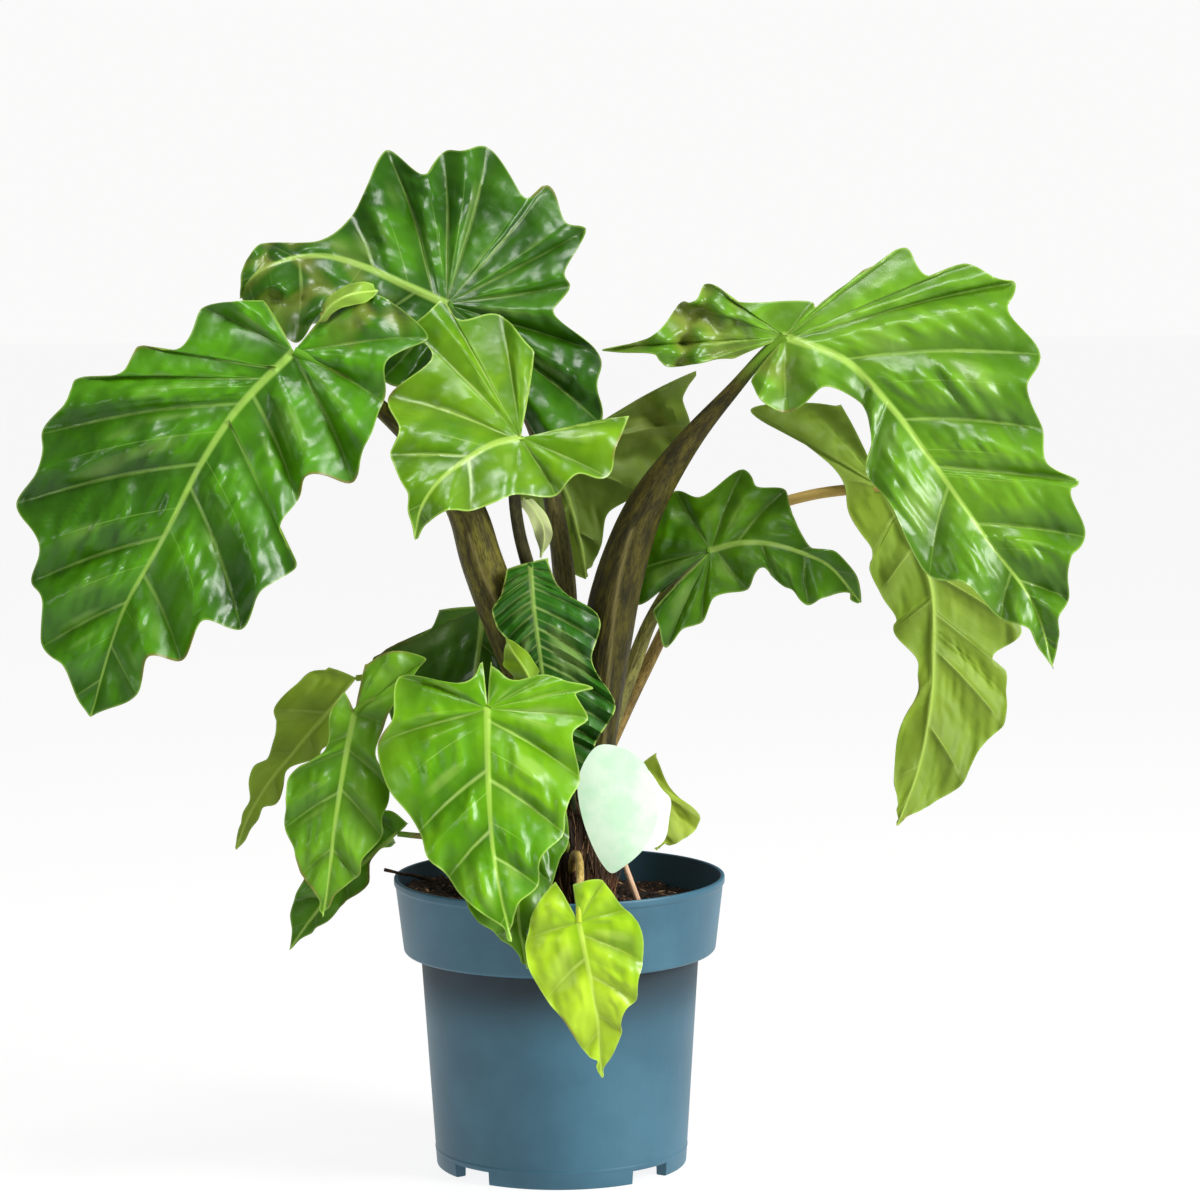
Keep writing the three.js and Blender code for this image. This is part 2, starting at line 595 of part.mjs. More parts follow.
function soilHeight(x, y) {
  const reach = Math.hypot(x, y) / (rimDiameter / 2);
  const leftward = Math.max(0, -x) / (rimDiameter / 2);
  const lumps = Math.sin(x * 0.13 + 1.1) * Math.cos(y * 0.11) + 0.6 * Math.sin(x * 0.29 + y * 0.23);
  return soilLevel + soilHeap * leftward ** 2 + soilLump * lumps * Math.min(1, 2 * (1 - reach) + 0.4);
}

// The soil fills the pot to the floor. Its top is uneven and heaped against the left of the rim.
function soilSolid(buried) {
  const [foot, band, shoulder] = [footDiameter / 2, bandDiameter / 2, shoulderDiameter / 2];
  const play = potWall + soilPlay;
  const floorTop = footRingHeight + floorThickness + clearance;
  const wallSlope = (rimDiameter / 2 - band) / (potHeight - bandBottom);
  const topRadius = band - play - soilPlay + wallSlope * (soilLevel - soilHeap - bandBottom);
  const rings = [1, 0.84, 0.66, 0.48, 0.3, 0.14, 0];
  const top = turned([
    [0, floorTop], [foot - play, floorTop], [shoulder - play, ledgeTop + play / 5],
    [band - play, ledgeTop + play / 2],
    ...rings.map((ring) => [topRadius * ring, soilLevel]),
  ], potSegments);
  const positions = top.attributes.position;
  for (let i = 0; i < positions.count; i += 1) {
    if (positions.getZ(i) > soilLevel - 1) {
      positions.setZ(i, soilHeight(positions.getX(i), positions.getY(i)));
    }
  }
  return buried.reduce((soil, geometry) => soil.subtract(solidOf(geometry)), solidOf(top));
}

const group = new THREE.Group();

function addPiece(name, geometry, color, roughness) {
  const material = new THREE.MeshStandardMaterial({ color, roughness, metalness: 0 });
  const mesh = new THREE.Mesh(geometry, material);
  mesh.name = name;
  group.add(mesh);
}

addPiece("pot", geometryOf(potSolid()), 0x44657a, 0.45);
const crownLook = { sides: 16, flute: 0.06 };
const crownGeometry = stalkGeometry(crown, crownLook);
const crownSwollen = stalkGeometry(crown, { ...crownLook, swell: clearance });
addPiece("crown", crownGeometry, 0x3a2a17, 0.9);
addPiece("soil", geometryOf(soilSolid([
  crownSwollen, rodGeometry(stick, clearance), rodGeometry(twig, clearance),
])), 0x2a1d13, 0.95);

// Stems are cut clear of the crown, of the stems before them and of their own blade.
const taken = [solidOf(crownSwollen)];
for (const leaf of leaves) {
  addPiece(leaf.name, bladeGeometry(leaf), leaf.color, 0.35);
  const stalk = { route: [...leaf.stem.route, leaf.rib[0]], widths: leaf.stem.widths };
  const sides = Math.max(...stalk.widths) > thickStem ? 10 : 6;
  let stem = solidOf(stalkGeometry(stalk, { sides }));
  for (const angle of [0, (2 * Math.PI) / 3, (4 * Math.PI) / 3]) {
    const blade = bladeGeometry(leaf, clearance);
    blade.translate(clearance * Math.cos(angle), 0, clearance * Math.sin(angle));
    stem = stem.subtract(solidOf(blade));
  }
  for (const other of taken) {
    stem = stem.subtract(other);
  }
  addPiece(`${leaf.name}_stem`, geometryOf(largestOf(stem)), leaf.stem.color, 0.55);
  taken.push(solidOf(stalkGeometry(stalk, { sides, swell: clearance })));
}

addPiece("label_front", plateGeometry(labelFront), 0xcfeecd, 0.4);
addPiece("label_back", plateGeometry(labelBack), 0xf2f4f2, 0.4);
addPiece("label_stick", rodGeometry(stick), 0xc9a583, 0.7);
addPiece("twig", rodGeometry(twig), 0x2c2018, 0.9);

export default group;
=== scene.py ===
"""A potted alocasia portodora in a plastic nursery pot, dressed over its solids.

Sizes are in millimetres until a mesh is made, and the pot stands on z = 0.
"""

import math

import bpy
import numpy as np
from mathutils import Matrix, Vector


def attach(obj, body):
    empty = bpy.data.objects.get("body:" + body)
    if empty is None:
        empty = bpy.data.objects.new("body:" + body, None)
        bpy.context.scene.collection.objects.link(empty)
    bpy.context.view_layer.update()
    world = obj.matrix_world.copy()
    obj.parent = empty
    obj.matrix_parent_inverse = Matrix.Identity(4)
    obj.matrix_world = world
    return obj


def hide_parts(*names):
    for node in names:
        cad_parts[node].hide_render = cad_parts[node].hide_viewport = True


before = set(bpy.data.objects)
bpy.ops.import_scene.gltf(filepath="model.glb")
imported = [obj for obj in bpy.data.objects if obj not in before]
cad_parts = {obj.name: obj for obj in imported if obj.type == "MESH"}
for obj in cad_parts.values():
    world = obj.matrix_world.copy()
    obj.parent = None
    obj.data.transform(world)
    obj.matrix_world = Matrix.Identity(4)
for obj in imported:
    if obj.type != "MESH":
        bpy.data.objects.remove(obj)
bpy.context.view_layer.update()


# The camera stands three metres in front of the pot at the height of the top leaves. It looks
# slightly down, with a long lens, so that the leaves keep their proportions.
eye_side = 31
eye_distance = 3000
eye_height = 737
lens_length = 125.6
film_width = 36
downward_angle = 0.1081
head_roll = -0.0073


def put(name, data):
    """An object in the scene for a mesh, a lamp or a lens."""
    placed = bpy.data.objects.new(name, data)
    bpy.context.collection.objects.link(placed)
    return placed


camera_lens = bpy.data.cameras.new("plant_camera")
camera_lens.lens = lens_length
camera_lens.sensor_width = film_width
camera = put("plant_camera", camera_lens)
looking_down = Matrix.Rotation(math.pi / 2 - downward_angle, 4, "X")
rolled_head = Matrix.Rotation(head_roll, 4, "Z")
camera_place = Matrix.Translation(Vector((eye_side, -eye_distance, eye_height)) / 1000)
camera.matrix_world = camera_place @ looking_down @ rolled_head
bpy.context.scene.camera = camera


# The pot is one injection moulding in blue-grey polypropylene: a flared body, a straight band
# under a beaded rim, and a foot ring with four drainage notches. Its skin is satin, with the
# fine drag lines of the mould, a little dust and faint scuffs, and painted shade that darkens
# the inner wall nearly to black.
class Wire:
    """A socket of a finish. Arithmetic on wires adds Math nodes."""

    def __init__(self, finish, socket):
        self.finish = finish
        self.socket = socket

    def __add__(self, other):
        return self.finish.sum_of("ADD", self, other)

    def __sub__(self, other):
        return self.finish.sum_of("SUBTRACT", self, other)

    def __rsub__(self, other):
        return self.finish.sum_of("SUBTRACT", other, self)

    def __mul__(self, other):
        return self.finish.sum_of("MULTIPLY", self, other)

    __radd__ = __add__
    __rmul__ = __mul__


class Finish:
    """A material. Constants go straight on its shader, and every other node comes from node()."""

    def __init__(self, name, **constants):
        self.material = bpy.data.materials.new(name)
        self.material.use_nodes = True
        self.tree = self.material.node_tree
        self.shader = self.tree.nodes["Principled BSDF"]
        for socket, value in constants.items():
            self.shader.inputs[socket.replace("_", " ")].default_value = value
        self.place = self.node("ShaderNodeTexCoord", output="Object")

    def join(self, socket, value):
        if isinstance(value, Wire):
            self.tree.links.new(value.socket, socket)
        else:
            socket.default_value = value

    def node(self, kind, settings=None, inputs=None, output=0):
        made = self.tree.nodes.new(kind)
        for name, value in (settings or {}).items():
            setattr(made, name, value)
        for name, value in (inputs or {}).items():
            self.join(made.inputs[name], value)
        return Wire(self, made.outputs[output])

    def sum_of(self, operation, first, second):
        return self.node("ShaderNodeMath", {"operation": operation}, {0: first, 1: second})

    def ramp(self, value, low, high):
        """A soft step from 0 to 1 while the value goes from low to high."""
        return self.node(
            "ShaderNodeMapRange", {"interpolation_type": "SMOOTHSTEP"},
            {"Value": value, "From Min": low, "From Max": high})

    def stretched(self, place, scale):
        return self.node("ShaderNodeMapping", inputs={"Vector": place, "Scale": scale})

    def noise(self, place, scale, detail=3.0, roughness=0.55):
        return self.node("ShaderNodeTexNoise", inputs={
            "Vector": place, "Scale": scale, "Detail": detail, "Roughness": roughness})

    def own(self, name, output="Fac"):
        return self.node("ShaderNodeAttribute", {"attribute_name": name}, output=output)

    def coat(self, under, over, share):
        """The colour over laid on the colour under where the share is 1."""
        return self.node("ShaderNodeMix", {"data_type": "RGBA"}, {0: share, 6: under, 7: over}, 2)

    def coats(self, first, *over):
        """A first colour with others laid over it in turn, each with the share that it covers."""
        color = tint(first)
        for code, share in over:
            color = self.coat(color, tint(code), share)
        return color

    def lit(self, color, strength):
        return self.node("ShaderNodeHueSaturation", inputs={"Color": color, "Value": strength})

    def set(self, **wires):
        for socket, value in wires.items():
            self.join(self.shader.inputs[socket.replace("_", " ")], value)

    def bump(self, height, distance, strength=1.0):
        return self.node("ShaderNodeBump", inputs={
            "Height": height, "Distance": distance, "Strength": strength})


def tint(code):
    """A colour from its six hex digits, as a painter's chart gives it."""
    shares = [int(code[i:i + 2], 16) / 255 for i in (0, 2, 4)]
    return (*[((s + 0.055) / 1.055) ** 2.4 if s > 0.04 else s / 12.92 for s in shares], 1.0)


def place_mesh(name, points, faces, finish, crease=50):
    """A smooth-shaded object from points in millimetres, with edges kept sharp past the crease."""
    mesh = bpy.data.meshes.new(name)
    mesh.from_pydata((np.asarray(points) / 1000).tolist(), [], faces)
    mesh.shade_smooth()
    mesh.set_sharp_from_angle(angle=math.radians(crease))
    mesh.materials.append(finish)
    return put(name, mesh)


def keep(piece, **marks):
    """Stores each mark, which has one number or one vector for each point of the piece."""
    for name, values in marks.items():
        values = np.asarray(values, float)
        kind, field = ("FLOAT_VECTOR", "vector") if values.ndim == 2 else ("FLOAT", "value")
        layer = piece.data.attributes.new(name, kind, "POINT")
        layer.data.foreach_set(field, values.ravel())


def stand_for(piece, node):
    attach(piece, "root")
    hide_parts(node)


def eased(profile, radius, steps=4):
    """The profile with every inner corner turned into a short bend."""
    known = np.asarray(profile, float)
    laid = [known[0]]
    for before, corner, after in zip(known, known[1:], known[2:]):
        into, out = before - corner, after - corner
        reach = min(radius, 0.4 * np.linalg.norm(into), 0.4 * np.linalg.norm(out))
        start = corner + into / np.linalg.norm(into) * reach
        end = corner + out / np.linalg.norm(out) * reach
        for t in np.linspace(0, 1, steps):
            laid.append((1 - t) ** 2 * start + 2 * t * (1 - t) * corner + t ** 2 * end)
    laid.append(known[-1])
    return np.array(laid)


rim_radius = 120
pot_height = 211
foot_radius = 91
pot_wall = 2.2
rim_wall = 3
bead_height = 6
bead_depth = 1.2
soft_edge = 0.8
band_bottom = 156.5
band_radius = 113.25
shoulder_radius = 101
ledge_top = band_bottom + 1.7
foot_ring_height = 11
foot_ring_width = 8
foot_pad_radius = 14
floor_thickness = 2.5
mould_line = 0.35
notch_angles = (45, 135, 225, 315)
notch_width = 34
notch_half = math.degrees(math.asin(notch_width / 2 / foot_radius))
notch_height = 9.5
floor_top = foot_ring_height + floor_thickness

pot_profile = eased([
    (0, 0), (foot_pad_radius, 0), (foot_pad_radius, foot_ring_height),
    (foot_radius - foot_ring_width, foot_ring_height), (foot_radius - foot_ring_width, 0),
    (foot_radius, 0), (foot_radius + soft_edge, foot_ring_height),
    (foot_radius + soft_edge + mould_line, foot_ring_height + 1),
    (foot_radius + soft_edge + mould_line, foot_ring_height + 2.2),
    (foot_radius + soft_edge + 0.1, foot_ring_height + 3),
    (shoulder_radius, band_bottom - soft_edge), (band_radius - 2 * soft_edge, band_bottom),
    (band_radius, band_bottom + 2 * soft_edge), (rim_radius - bead_depth, pot_height - bead_height),
    (rim_radius, pot_height - bead_height + bead_depth), (rim_radius, pot_height),
    (rim_radius - rim_wall, pot_height), (band_radius - pot_wall, ledge_top + soft_edge),
    (shoulder_radius - pot_wall, ledge_top), (foot_radius - pot_wall, floor_top), (0, floor_top),
], 1.1)
notch_sides = [turn + side * notch_half for turn in notch_angles for side in (-1, 1)]
pot_turns = np.unique(np.round(np.concatenate([
    np.arange(0, 360, 1.5), [side + nudge for side in notch_sides for nudge in (-0.08, 0.08)]]), 3))


def band_faces(start, count):
    """Faces from the ring of points that begins at start to the ring that follows it."""
    return [(start + i, start + (i + 1) % count, start + count + (i + 1) % count, start + count + i)
            for i in range(count)]


def ring_mesh(profile, turns, lift=None):
    """Points and faces of a profile spun round z. The profile starts and ends on the axis."""
    across = np.radians(turns)
    rings = [[(0, 0, profile[0][1])]]
    for radius, height in profile[1:-1]:
        ups = np.full(len(turns), height) if lift is None else lift(radius, height, turns)
        rings.append(np.column_stack([radius * np.cos(across), radius * np.sin(across), ups]))
    rings.append([(0, 0, profile[-1][1])])
    count = len(turns)
    faces = [(0, 1 + (i + 1) % count, 1 + i) for i in range(count)]
    for ring in range(len(profile) - 3):
        faces += band_faces(1 + ring * count, count)
    last = 1 + (len(profile) - 3) * count
    hub = last + count
    faces += [(last + i, last + (i + 1) % count, hub) for i in range(count)]
    return np.vstack(rings), faces


def foot_lift(radius, height, turns):
    """Raises the underside of the foot ring inside the notches."""
    from_notch = np.min([np.abs(turns - turn) for turn in notch_angles], axis=0)
    in_ring = radius > foot_radius - foot_ring_width - 1.2 and height < notch_height
    return np.where((from_notch < notch_half) & in_ring, max(height, notch_height), height)


pot_plastic = Finish("pot_plastic", IOR=1.49)
from_axis = pot_plastic.node("ShaderNodeVectorMath", {"operation": "LENGTH"}, {
    0: pot_plastic.stretched(pot_plastic.place, (1, 1, 0))}, "Value")
height_up = pot_plastic.node("ShaderNodeSeparateXYZ", inputs={0: pot_plastic.place}, output="Z")
drag_lines = pot_plastic.noise(pot_plastic.stretched(pot_plastic.place, (520, 520, 9)), 1, 2)
cloudy = pot_plastic.noise(pot_plastic.place, 14, 4)
grain = pot_plastic.noise(pot_plastic.place, 1900, 2)
dust = pot_plastic.noise(pot_plastic.place, 330, 3, 0.7)
dusty = pot_plastic.ramp(dust, 0.66, 0.74) * pot_plastic.ramp(cloudy, 0.5, 0.68)
scuffs = pot_plastic.noise(pot_plastic.stretched(pot_plastic.place, (60, 60, 420)), 1, 3)
scuffed = pot_plastic.ramp(scuffs, 0.68, 0.76) * pot_plastic.ramp(cloudy, 0.42, 0.6)
inner_wall = 1 - pot_plastic.ramp(
    from_axis - height_up * ((rim_radius - band_radius) / (pot_height - band_bottom)),
    0.0904, 0.0916)
# Painted shade: the inner wall above the soil is darkened to a blue-black where the pot's own shadow
# falls, and its roughness rises there too.
inner_wall_shade = inner_wall * pot_plastic.ramp(height_up, 0.1, 0.15) * (0.55 + cloudy * 0.5)
pot_color = pot_plastic.coats(
    "285669", ("366579", pot_plastic.ramp(cloudy, 0.3, 0.7)), ("6b8492", dusty * 0.45),
    ("54707f", scuffed * 0.5), ("0b1117", inner_wall_shade))
pot_plastic.set(
    Base_Color=pot_color,
    Roughness=0.36 + cloudy * 0.12 + dusty * 0.2 + grain * 0.05 + inner_wall_shade * 0.25,
    Normal=pot_plastic.bump(drag_lines * 0.5 + grain * 0.3 + dusty, 0.00012))
pot_points, pot_faces = ring_mesh(pot_profile, pot_turns, foot_lift)
pot = place_mesh("nursery_pot", pot_points, pot_faces, pot_plastic.material, 38)
stand_for(pot, "pot")


# The soil is moist bark and peat mix that fills the pot to its floor, heaped against the left of
# the rim. Its crumbs are part of the surface, and loose chips of bark lie on top of it.
soil_level = 188
soil_heap = 17
soil_lump = 2.2
soil_play = 0.5
chip_length = 5.5
chip_spacing = 2.3
chip_density = 70000


def soil_height(x, y):
    reach = np.hypot(x, y) / rim_radius
    leftward = np.maximum(0, -x) / rim_radius
    lumps = np.sin(x * 0.13 + 1.1) * np.cos(y * 0.11) + 0.6 * np.sin(x * 0.29 + y * 0.23)
    steady = np.minimum(1, 2 * (1 - reach) + 0.4)
    return soil_level + soil_heap * leftward ** 2 + soil_lump * lumps * steady


def crumbs(x, y, size, seed):
    """Random bumps of one size, from -1 to 1, blended between the corners of a square grid."""
    u, v = x / size, y / size
    left, low = np.floor(u), np.floor(v)
    blend_u, blend_v = (3 * s ** 2 - 2 * s ** 3 for s in (u - left, v - low))

    def corner(i, j):
        mixed = np.sin((left + i) * 127.1 + (low + j) * 311.7 + seed * 74.7) * 43758.5453
        return 2 * (mixed - np.floor(mixed)) - 1

    near = corner(0, 0) * (1 - blend_u) + corner(1, 0) * blend_u
    far = corner(0, 1) * (1 - blend_u) + corner(1, 1) * blend_u
    return near * (1 - blend_v) + far * blend_v


play = pot_wall + soil_play
wall_slope = (rim_radius - band_radius) / (pot_height - band_bottom)
soil_radius = band_radius - play - soil_play + wall_slope * (soil_level - soil_heap - band_bottom)
soil_rings = np.linspace(1, 0.012, 78)
soil_profile = [
    (0, floor_top + 0.3), (foot_radius - play, floor_top + 0.3),
    (shoulder_radius - play, ledge_top + play / 5), (band_radius - play, ledge_top + play / 2),
    *[(soil_radius * share, soil_level) for share in soil_rings], (0, soil_level),
]
soil_points, soil_faces = ring_mesh(soil_profile, np.arange(0, 360, 1.5))
on_top = soil_points[:, 2] > soil_level - 1
top_x, top_y = soil_points[on_top, 0], soil_points[on_top, 1]
crumbled = 1.5 * crumbs(top_x, top_y, 9, 1) + 1.1 * crumbs(top_x, top_y, 4.2, 2)
crumbled = crumbled + 0.7 * crumbs(top_x, top_y, 2.2, 3)
soil_points[on_top, 2] = soil_height(top_x, top_y) + crumbled

soil_mix = Finish("soil_mix", IOR=1.4)
clods = soil_mix.noise(soil_mix.place, 160, 5, 0.65)
specks = soil_mix.noise(soil_mix.place, 700, 4, 0.7)
fibrous = soil_mix.noise(soil_mix.stretched(soil_mix.place, (260, 900, 300)), 1, 3)
soil_color = soil_mix.coats(
    "1c120b", ("3d291a", soil_mix.ramp(clods, 0.4, 0.7)),
    ("7a5a3c", soil_mix.ramp(specks, 0.62, 0.72) * 0.7),
    ("0e0906", soil_mix.ramp(fibrous, 0.55, 0.7) * 0.6))
soil_mix.set(
    Base_Color=soil_color, Roughness=0.75 + specks * 0.2,
    Normal=soil_mix.bump(clods + specks * 0.5, 0.0012))
soil = place_mesh("potting_soil", soil_points, soil_faces, soil_mix.material, 80)
stand_for(soil, "soil")


class Nodes:
    """A Geometry Nodes tree with named number inputs and one mesh in and out."""

    def __init__(self, name, **sizes):
        self.tree = bpy.data.node_groups.new(name, "GeometryNodeTree")
        self.tree.interface.new_socket("Mesh", in_out="INPUT", socket_type="NodeSocketGeometry")
        self.tree.interface.new_socket("Mesh", in_out="OUTPUT", socket_type="NodeSocketGeometry")
        self.sizes = sizes
        self.sockets = {}
        for label in sizes:
            socket = self.tree.interface.new_socket(
                label, in_out="INPUT", socket_type="NodeSocketFloat")
            self.sockets[label] = socket.identifier
        self.given = self.tree.nodes.new("NodeGroupInput")
        self.result = self.tree.nodes.new("NodeGroupOutput")

    def node(self, kind, settings=None, inputs=None, output=0):
        made = self.tree.nodes.new(kind)
        for name, value in (settings or {}).items():
            setattr(made, name, value)
        for name, value in (inputs or {}).items():
            if isinstance(value, bpy.types.NodeSocket):
                self.tree.links.new(value, made.inputs[name])
            else:
                made.inputs[name].default_value = value
        return made.outputs[output]

    def size(self, label):
        return self.given.outputs[label]

    def scattered(self, spacing, density, seed, only=None):
        """Random points on the host, at least the spacing apart, and the way each one faces."""
        spread = self.tree.nodes.new("GeometryNodeDistributePointsOnFaces")
        spread.distribute_method = "POISSON"
        self.tree.links.new(self.given.outputs[0], spread.inputs["Mesh"])
        self.tree.links.new(self.size(spacing), spread.inputs["Distance Min"])
        if only is not None:
            self.tree.links.new(only, spread.inputs["Selection"])
        spread.inputs["Density Max"].default_value = density
        spread.inputs["Seed"].default_value = seed
        return spread.outputs["Points"], spread.outputs["Normal"]

    def drawn(self, low, high, seed):
        """A random vector from low to high for each point."""
        return self.node("FunctionNodeRandomValue", {"data_type": "FLOAT_VECTOR"}, {
            0: low, 1: high, "Seed": seed})

    def laid(self, points, body, turn, size, seed):
        """The body on each point, each with a random shade from 0 to 1."""
        bodies = self.node("GeometryNodeInstanceOnPoints", inputs={
            "Points": points, "Instance": body, "Rotation": turn, "Scale": size})
        shade = self.node("FunctionNodeRandomValue", {"data_type": "FLOAT"}, {"Seed": seed}, 1)
        return self.node(
            "GeometryNodeStoreNamedAttribute", {"data_type": "FLOAT", "domain": "INSTANCE"},
            {"Geometry": bodies, "Name": "shade", "Value": shade})

    def grow(self, name, host, instances, finish):
        """Runs the tree on the host's mesh and gives the result as a plain object."""
        whole = self.node("GeometryNodeRealizeInstances", inputs={0: instances})
        painted = self.node("GeometryNodeSetMaterial", inputs={0: whole, "Material": finish})
        self.tree.links.new(painted, self.result.inputs[0])
        holder = put(name + "_holder", host.data)
        grower = holder.modifiers.new(name, "NODES")
        grower.node_group = self.tree
        for label, value in self.sizes.items():
            grower[self.sockets[label]] = value
        shaped = holder.evaluated_get(bpy.context.evaluated_depsgraph_get())
        mesh = bpy.data.meshes.new_from_object(shaped)
        holder.modifiers.remove(grower)
        bpy.data.objects.remove(holder)
        mesh.name = name
        grown = put(name, mesh)
        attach(grown, "root")
        return grown


chip_bark = Finish("chip_bark", IOR=1.4)
chip_shade = chip_bark.own("shade")
chip_grain = chip_bark.noise(chip_bark.stretched(chip_bark.place, (900, 300, 900)), 1, 3)
chip_color = chip_bark.coats(
    "24170e", ("6b4a2e", chip_bark.ramp(chip_shade, 0.35, 0.85)),
    ("a88560", chip_bark.ramp(chip_shade, 0.9, 0.98)),
    ("140c07", chip_bark.ramp(chip_grain, 0.5, 0.7) * 0.7))
chip_bark.set(
    Base_Color=chip_color, Roughness=0.6 + chip_grain * 0.3,
    Normal=chip_bark.bump(chip_grain, 0.0006))

chips = Nodes("bark_chips", Length=chip_length / 1000, Spacing=chip_spacing / 1000)
soil_up = chips.node("ShaderNodeSeparateXYZ", inputs={
    0: chips.node("GeometryNodeInputNormal")}, output="Z")
soil_z = chips.node("ShaderNodeSeparateXYZ", inputs={
    0: chips.node("GeometryNodeInputPosition")}, output="Z")
faces_sky = chips.node("FunctionNodeCompare", {"operation": "GREATER_THAN"}, {0: soil_up, 1: 0.3})
near_top = chips.node("FunctionNodeCompare", {"operation": "GREATER_THAN"}, {
    0: soil_z, 1: (soil_level - 8) / 1000})
lying = chips.node("FunctionNodeBooleanMath", {"operation": "AND"}, {0: faces_sky, 1: near_top})
chip_spots, _ = chips.scattered("Spacing", chip_density, 4, lying)
chip_body = chips.node("GeometryNodeMeshIcoSphere", inputs={
    "Radius": chips.size("Length"), "Subdivisions": 1})
chip_turn = chips.drawn((-0.5, -0.5, 0), (0.5, 0.5, 6.28), 7)
chip_size = chips.drawn((0.16, 0.1, 0.05), (0.62, 0.3, 0.17), 11)
laid_chips = chips.laid(chip_spots, chip_body, chip_turn, chip_size, 15)
bark_chips = chips.grow("bark_chips", soil, laid_chips, chip_bark.material)


# The crown is the short woody trunk that all the leaves grow from. It is wrapped in the dry,
# fibrous bases of old leaves, dark brown above and papery and reddish where it enters the soil.
def seen(points):
    """Turns a layout of x, z and depth, as it looks from the camera, into places in space."""
    x, z, depth = np.asarray(points, float).T[:3]
    reach = (eye_distance + depth) / eye_distance
    return np.column_stack([
        eye_side + (x - eye_side) * reach, depth, eye_height + (z - eye_height) * reach])


def curve_through(points, steps):
    """A smooth curve through the points, with so many steps from each point to the next."""
    known = np.asarray(points, float)
    known = np.vstack([2 * known[0] - known[1], known, 2 * known[-1] - known[-2]])
    laid = []
    for p0, p1, p2, p3 in zip(known, known[1:], known[2:], known[3:]):
        gaps = [max(np.linalg.norm(b - a), 1e-3) ** 0.5 for a, b in ((p0, p1), (p1, p2), (p2, p3))]
        k0, k1, k2, k3 = np.concatenate([[0], np.cumsum(gaps)])
        t = np.linspace(k1, k2, steps, endpoint=False)[:, None]
        a1 = ((k1 - t) * p0 + (t - k0) * p1) / (k1 - k0)
        a2 = ((k2 - t) * p1 + (t - k1) * p2) / (k2 - k1)
        a3 = ((k3 - t) * p2 + (t - k2) * p3) / (k3 - k2)
        b1 = ((k2 - t) * a1 + (t - k0) * a2) / (k2 - k0)
        b2 = ((k3 - t) * a2 + (t - k1) * a3) / (k3 - k1)
        laid.append(((k2 - t) * b1 + (t - k1) * b2) / (k2 - k1))
    return np.vstack([*laid, known[-2:-1]])


def stalk_mesh(route, widths, sides, steps, shape=None):
    """A closed stalk along a route in space, its radius changed by shape(angles, share of length).

    Returns points, faces and, for each point, its place on the unrolled skin and its share of
    the length.
    """
    line = curve_through(np.column_stack([route, widths]), steps)
    centers, radii = line[:, :3], np.maximum(line[:, 3], 0.4) / 2
    forward = np.gradient(centers, axis=0)
    forward /= np.linalg.norm(forward, axis=1)[:, None]
    travelled = np.concatenate([[0], np.cumsum(np.linalg.norm(np.diff(centers, axis=0), axis=1))])
    across = np.array([1.0, 0, 0])
    angles = np.linspace(0, 2 * np.pi, sides, endpoint=False)
    points, skin, along = [], [], []
    for i, center in enumerate(centers):
        across = across - forward[i] * (across @ forward[i])
        across /= np.linalg.norm(across)
        up = np.cross(forward[i], across)
        share = travelled[i] / travelled[-1]
        reach = radii[i] * (shape(angles, share) if shape else np.ones(sides))
        ring = np.outer(reach * np.cos(angles), across) + np.outer(reach * np.sin(angles), up)
        points.append(center + ring)
        skin.append(np.column_stack([
            radii[i] * np.cos(angles), radii[i] * np.sin(angles), np.full(sides, travelled[i])]))
        along.append(np.full(sides, share))
    points += [centers[:1], centers[-1:]]
    skin += [[(0, 0, 0)], [(0, 0, travelled[-1])]]
    along += [[0], [1]]
    faces = []
    for i in range(len(centers) - 1):
        faces += band_faces(i * sides, sides)
    foot, head = len(centers) * sides, len(centers) * sides + 1
    for side in range(sides):
        ahead = (side + 1) % sides
        faces.append((foot, ahead, side))
        faces.append((head, foot - sides + side, foot - sides + ahead))
    return np.vstack(points), faces, np.vstack(skin) / 1000, np.concatenate(along)


crown_route = [(17, 150, 0), (17, 185, 0), (16, 212, 0), (15, 238, 0), (14, 260, 0), (13, 268, 0)]
crown_widths = [30, 44, 48, 51, 50, 34]
crown_bark = Finish("crown_bark", IOR=1.4)
crown_skin = crown_bark.own("skin", "Vector")
crown_along = crown_bark.own("along")
strands = crown_bark.noise(crown_bark.stretched(crown_skin, (620, 620, 34)), 1, 4, 0.6)
blotches = crown_bark.noise(crown_bark.stretched(crown_skin, (120, 120, 60)), 1, 3)
reddish = crown_bark.ramp(crown_along, 0.62, 0.3) * crown_bark.ramp(blotches, 0.38, 0.6)
crown_color = crown_bark.coats(
    "1d130b", ("4b3520", crown_bark.ramp(strands, 0.4, 0.66)), ("8a5a38", reddish * 0.75),
    ("c09a6c", crown_bark.ramp(strands, 0.66, 0.75) * 0.5))
crown_bark.set(
    Base_Color=crown_color, Roughness=0.7 + strands * 0.2,
    Normal=crown_bark.bump(strands, 0.0012))


def crown_shape(angles, share):
    ridges = 0.05 * np.sin(8 * angles + 6 * share) + 0.02 * np.sin(29 * angles + 3)
    scars = 0.035 * np.abs(np.sin(9 * share + 0.6 * np.sin(angles)))
    return 0.97 + ridges + scars


crown_points, crown_faces, skin, along = stalk_mesh(
    seen(crown_route), crown_widths, 96, 12, crown_shape)
crown = place_mesh("crown_trunk", crown_points, crown_faces, crown_bark.material, 80)
keep(crown, skin=skin, along=along)
stand_for(crown, "crown")

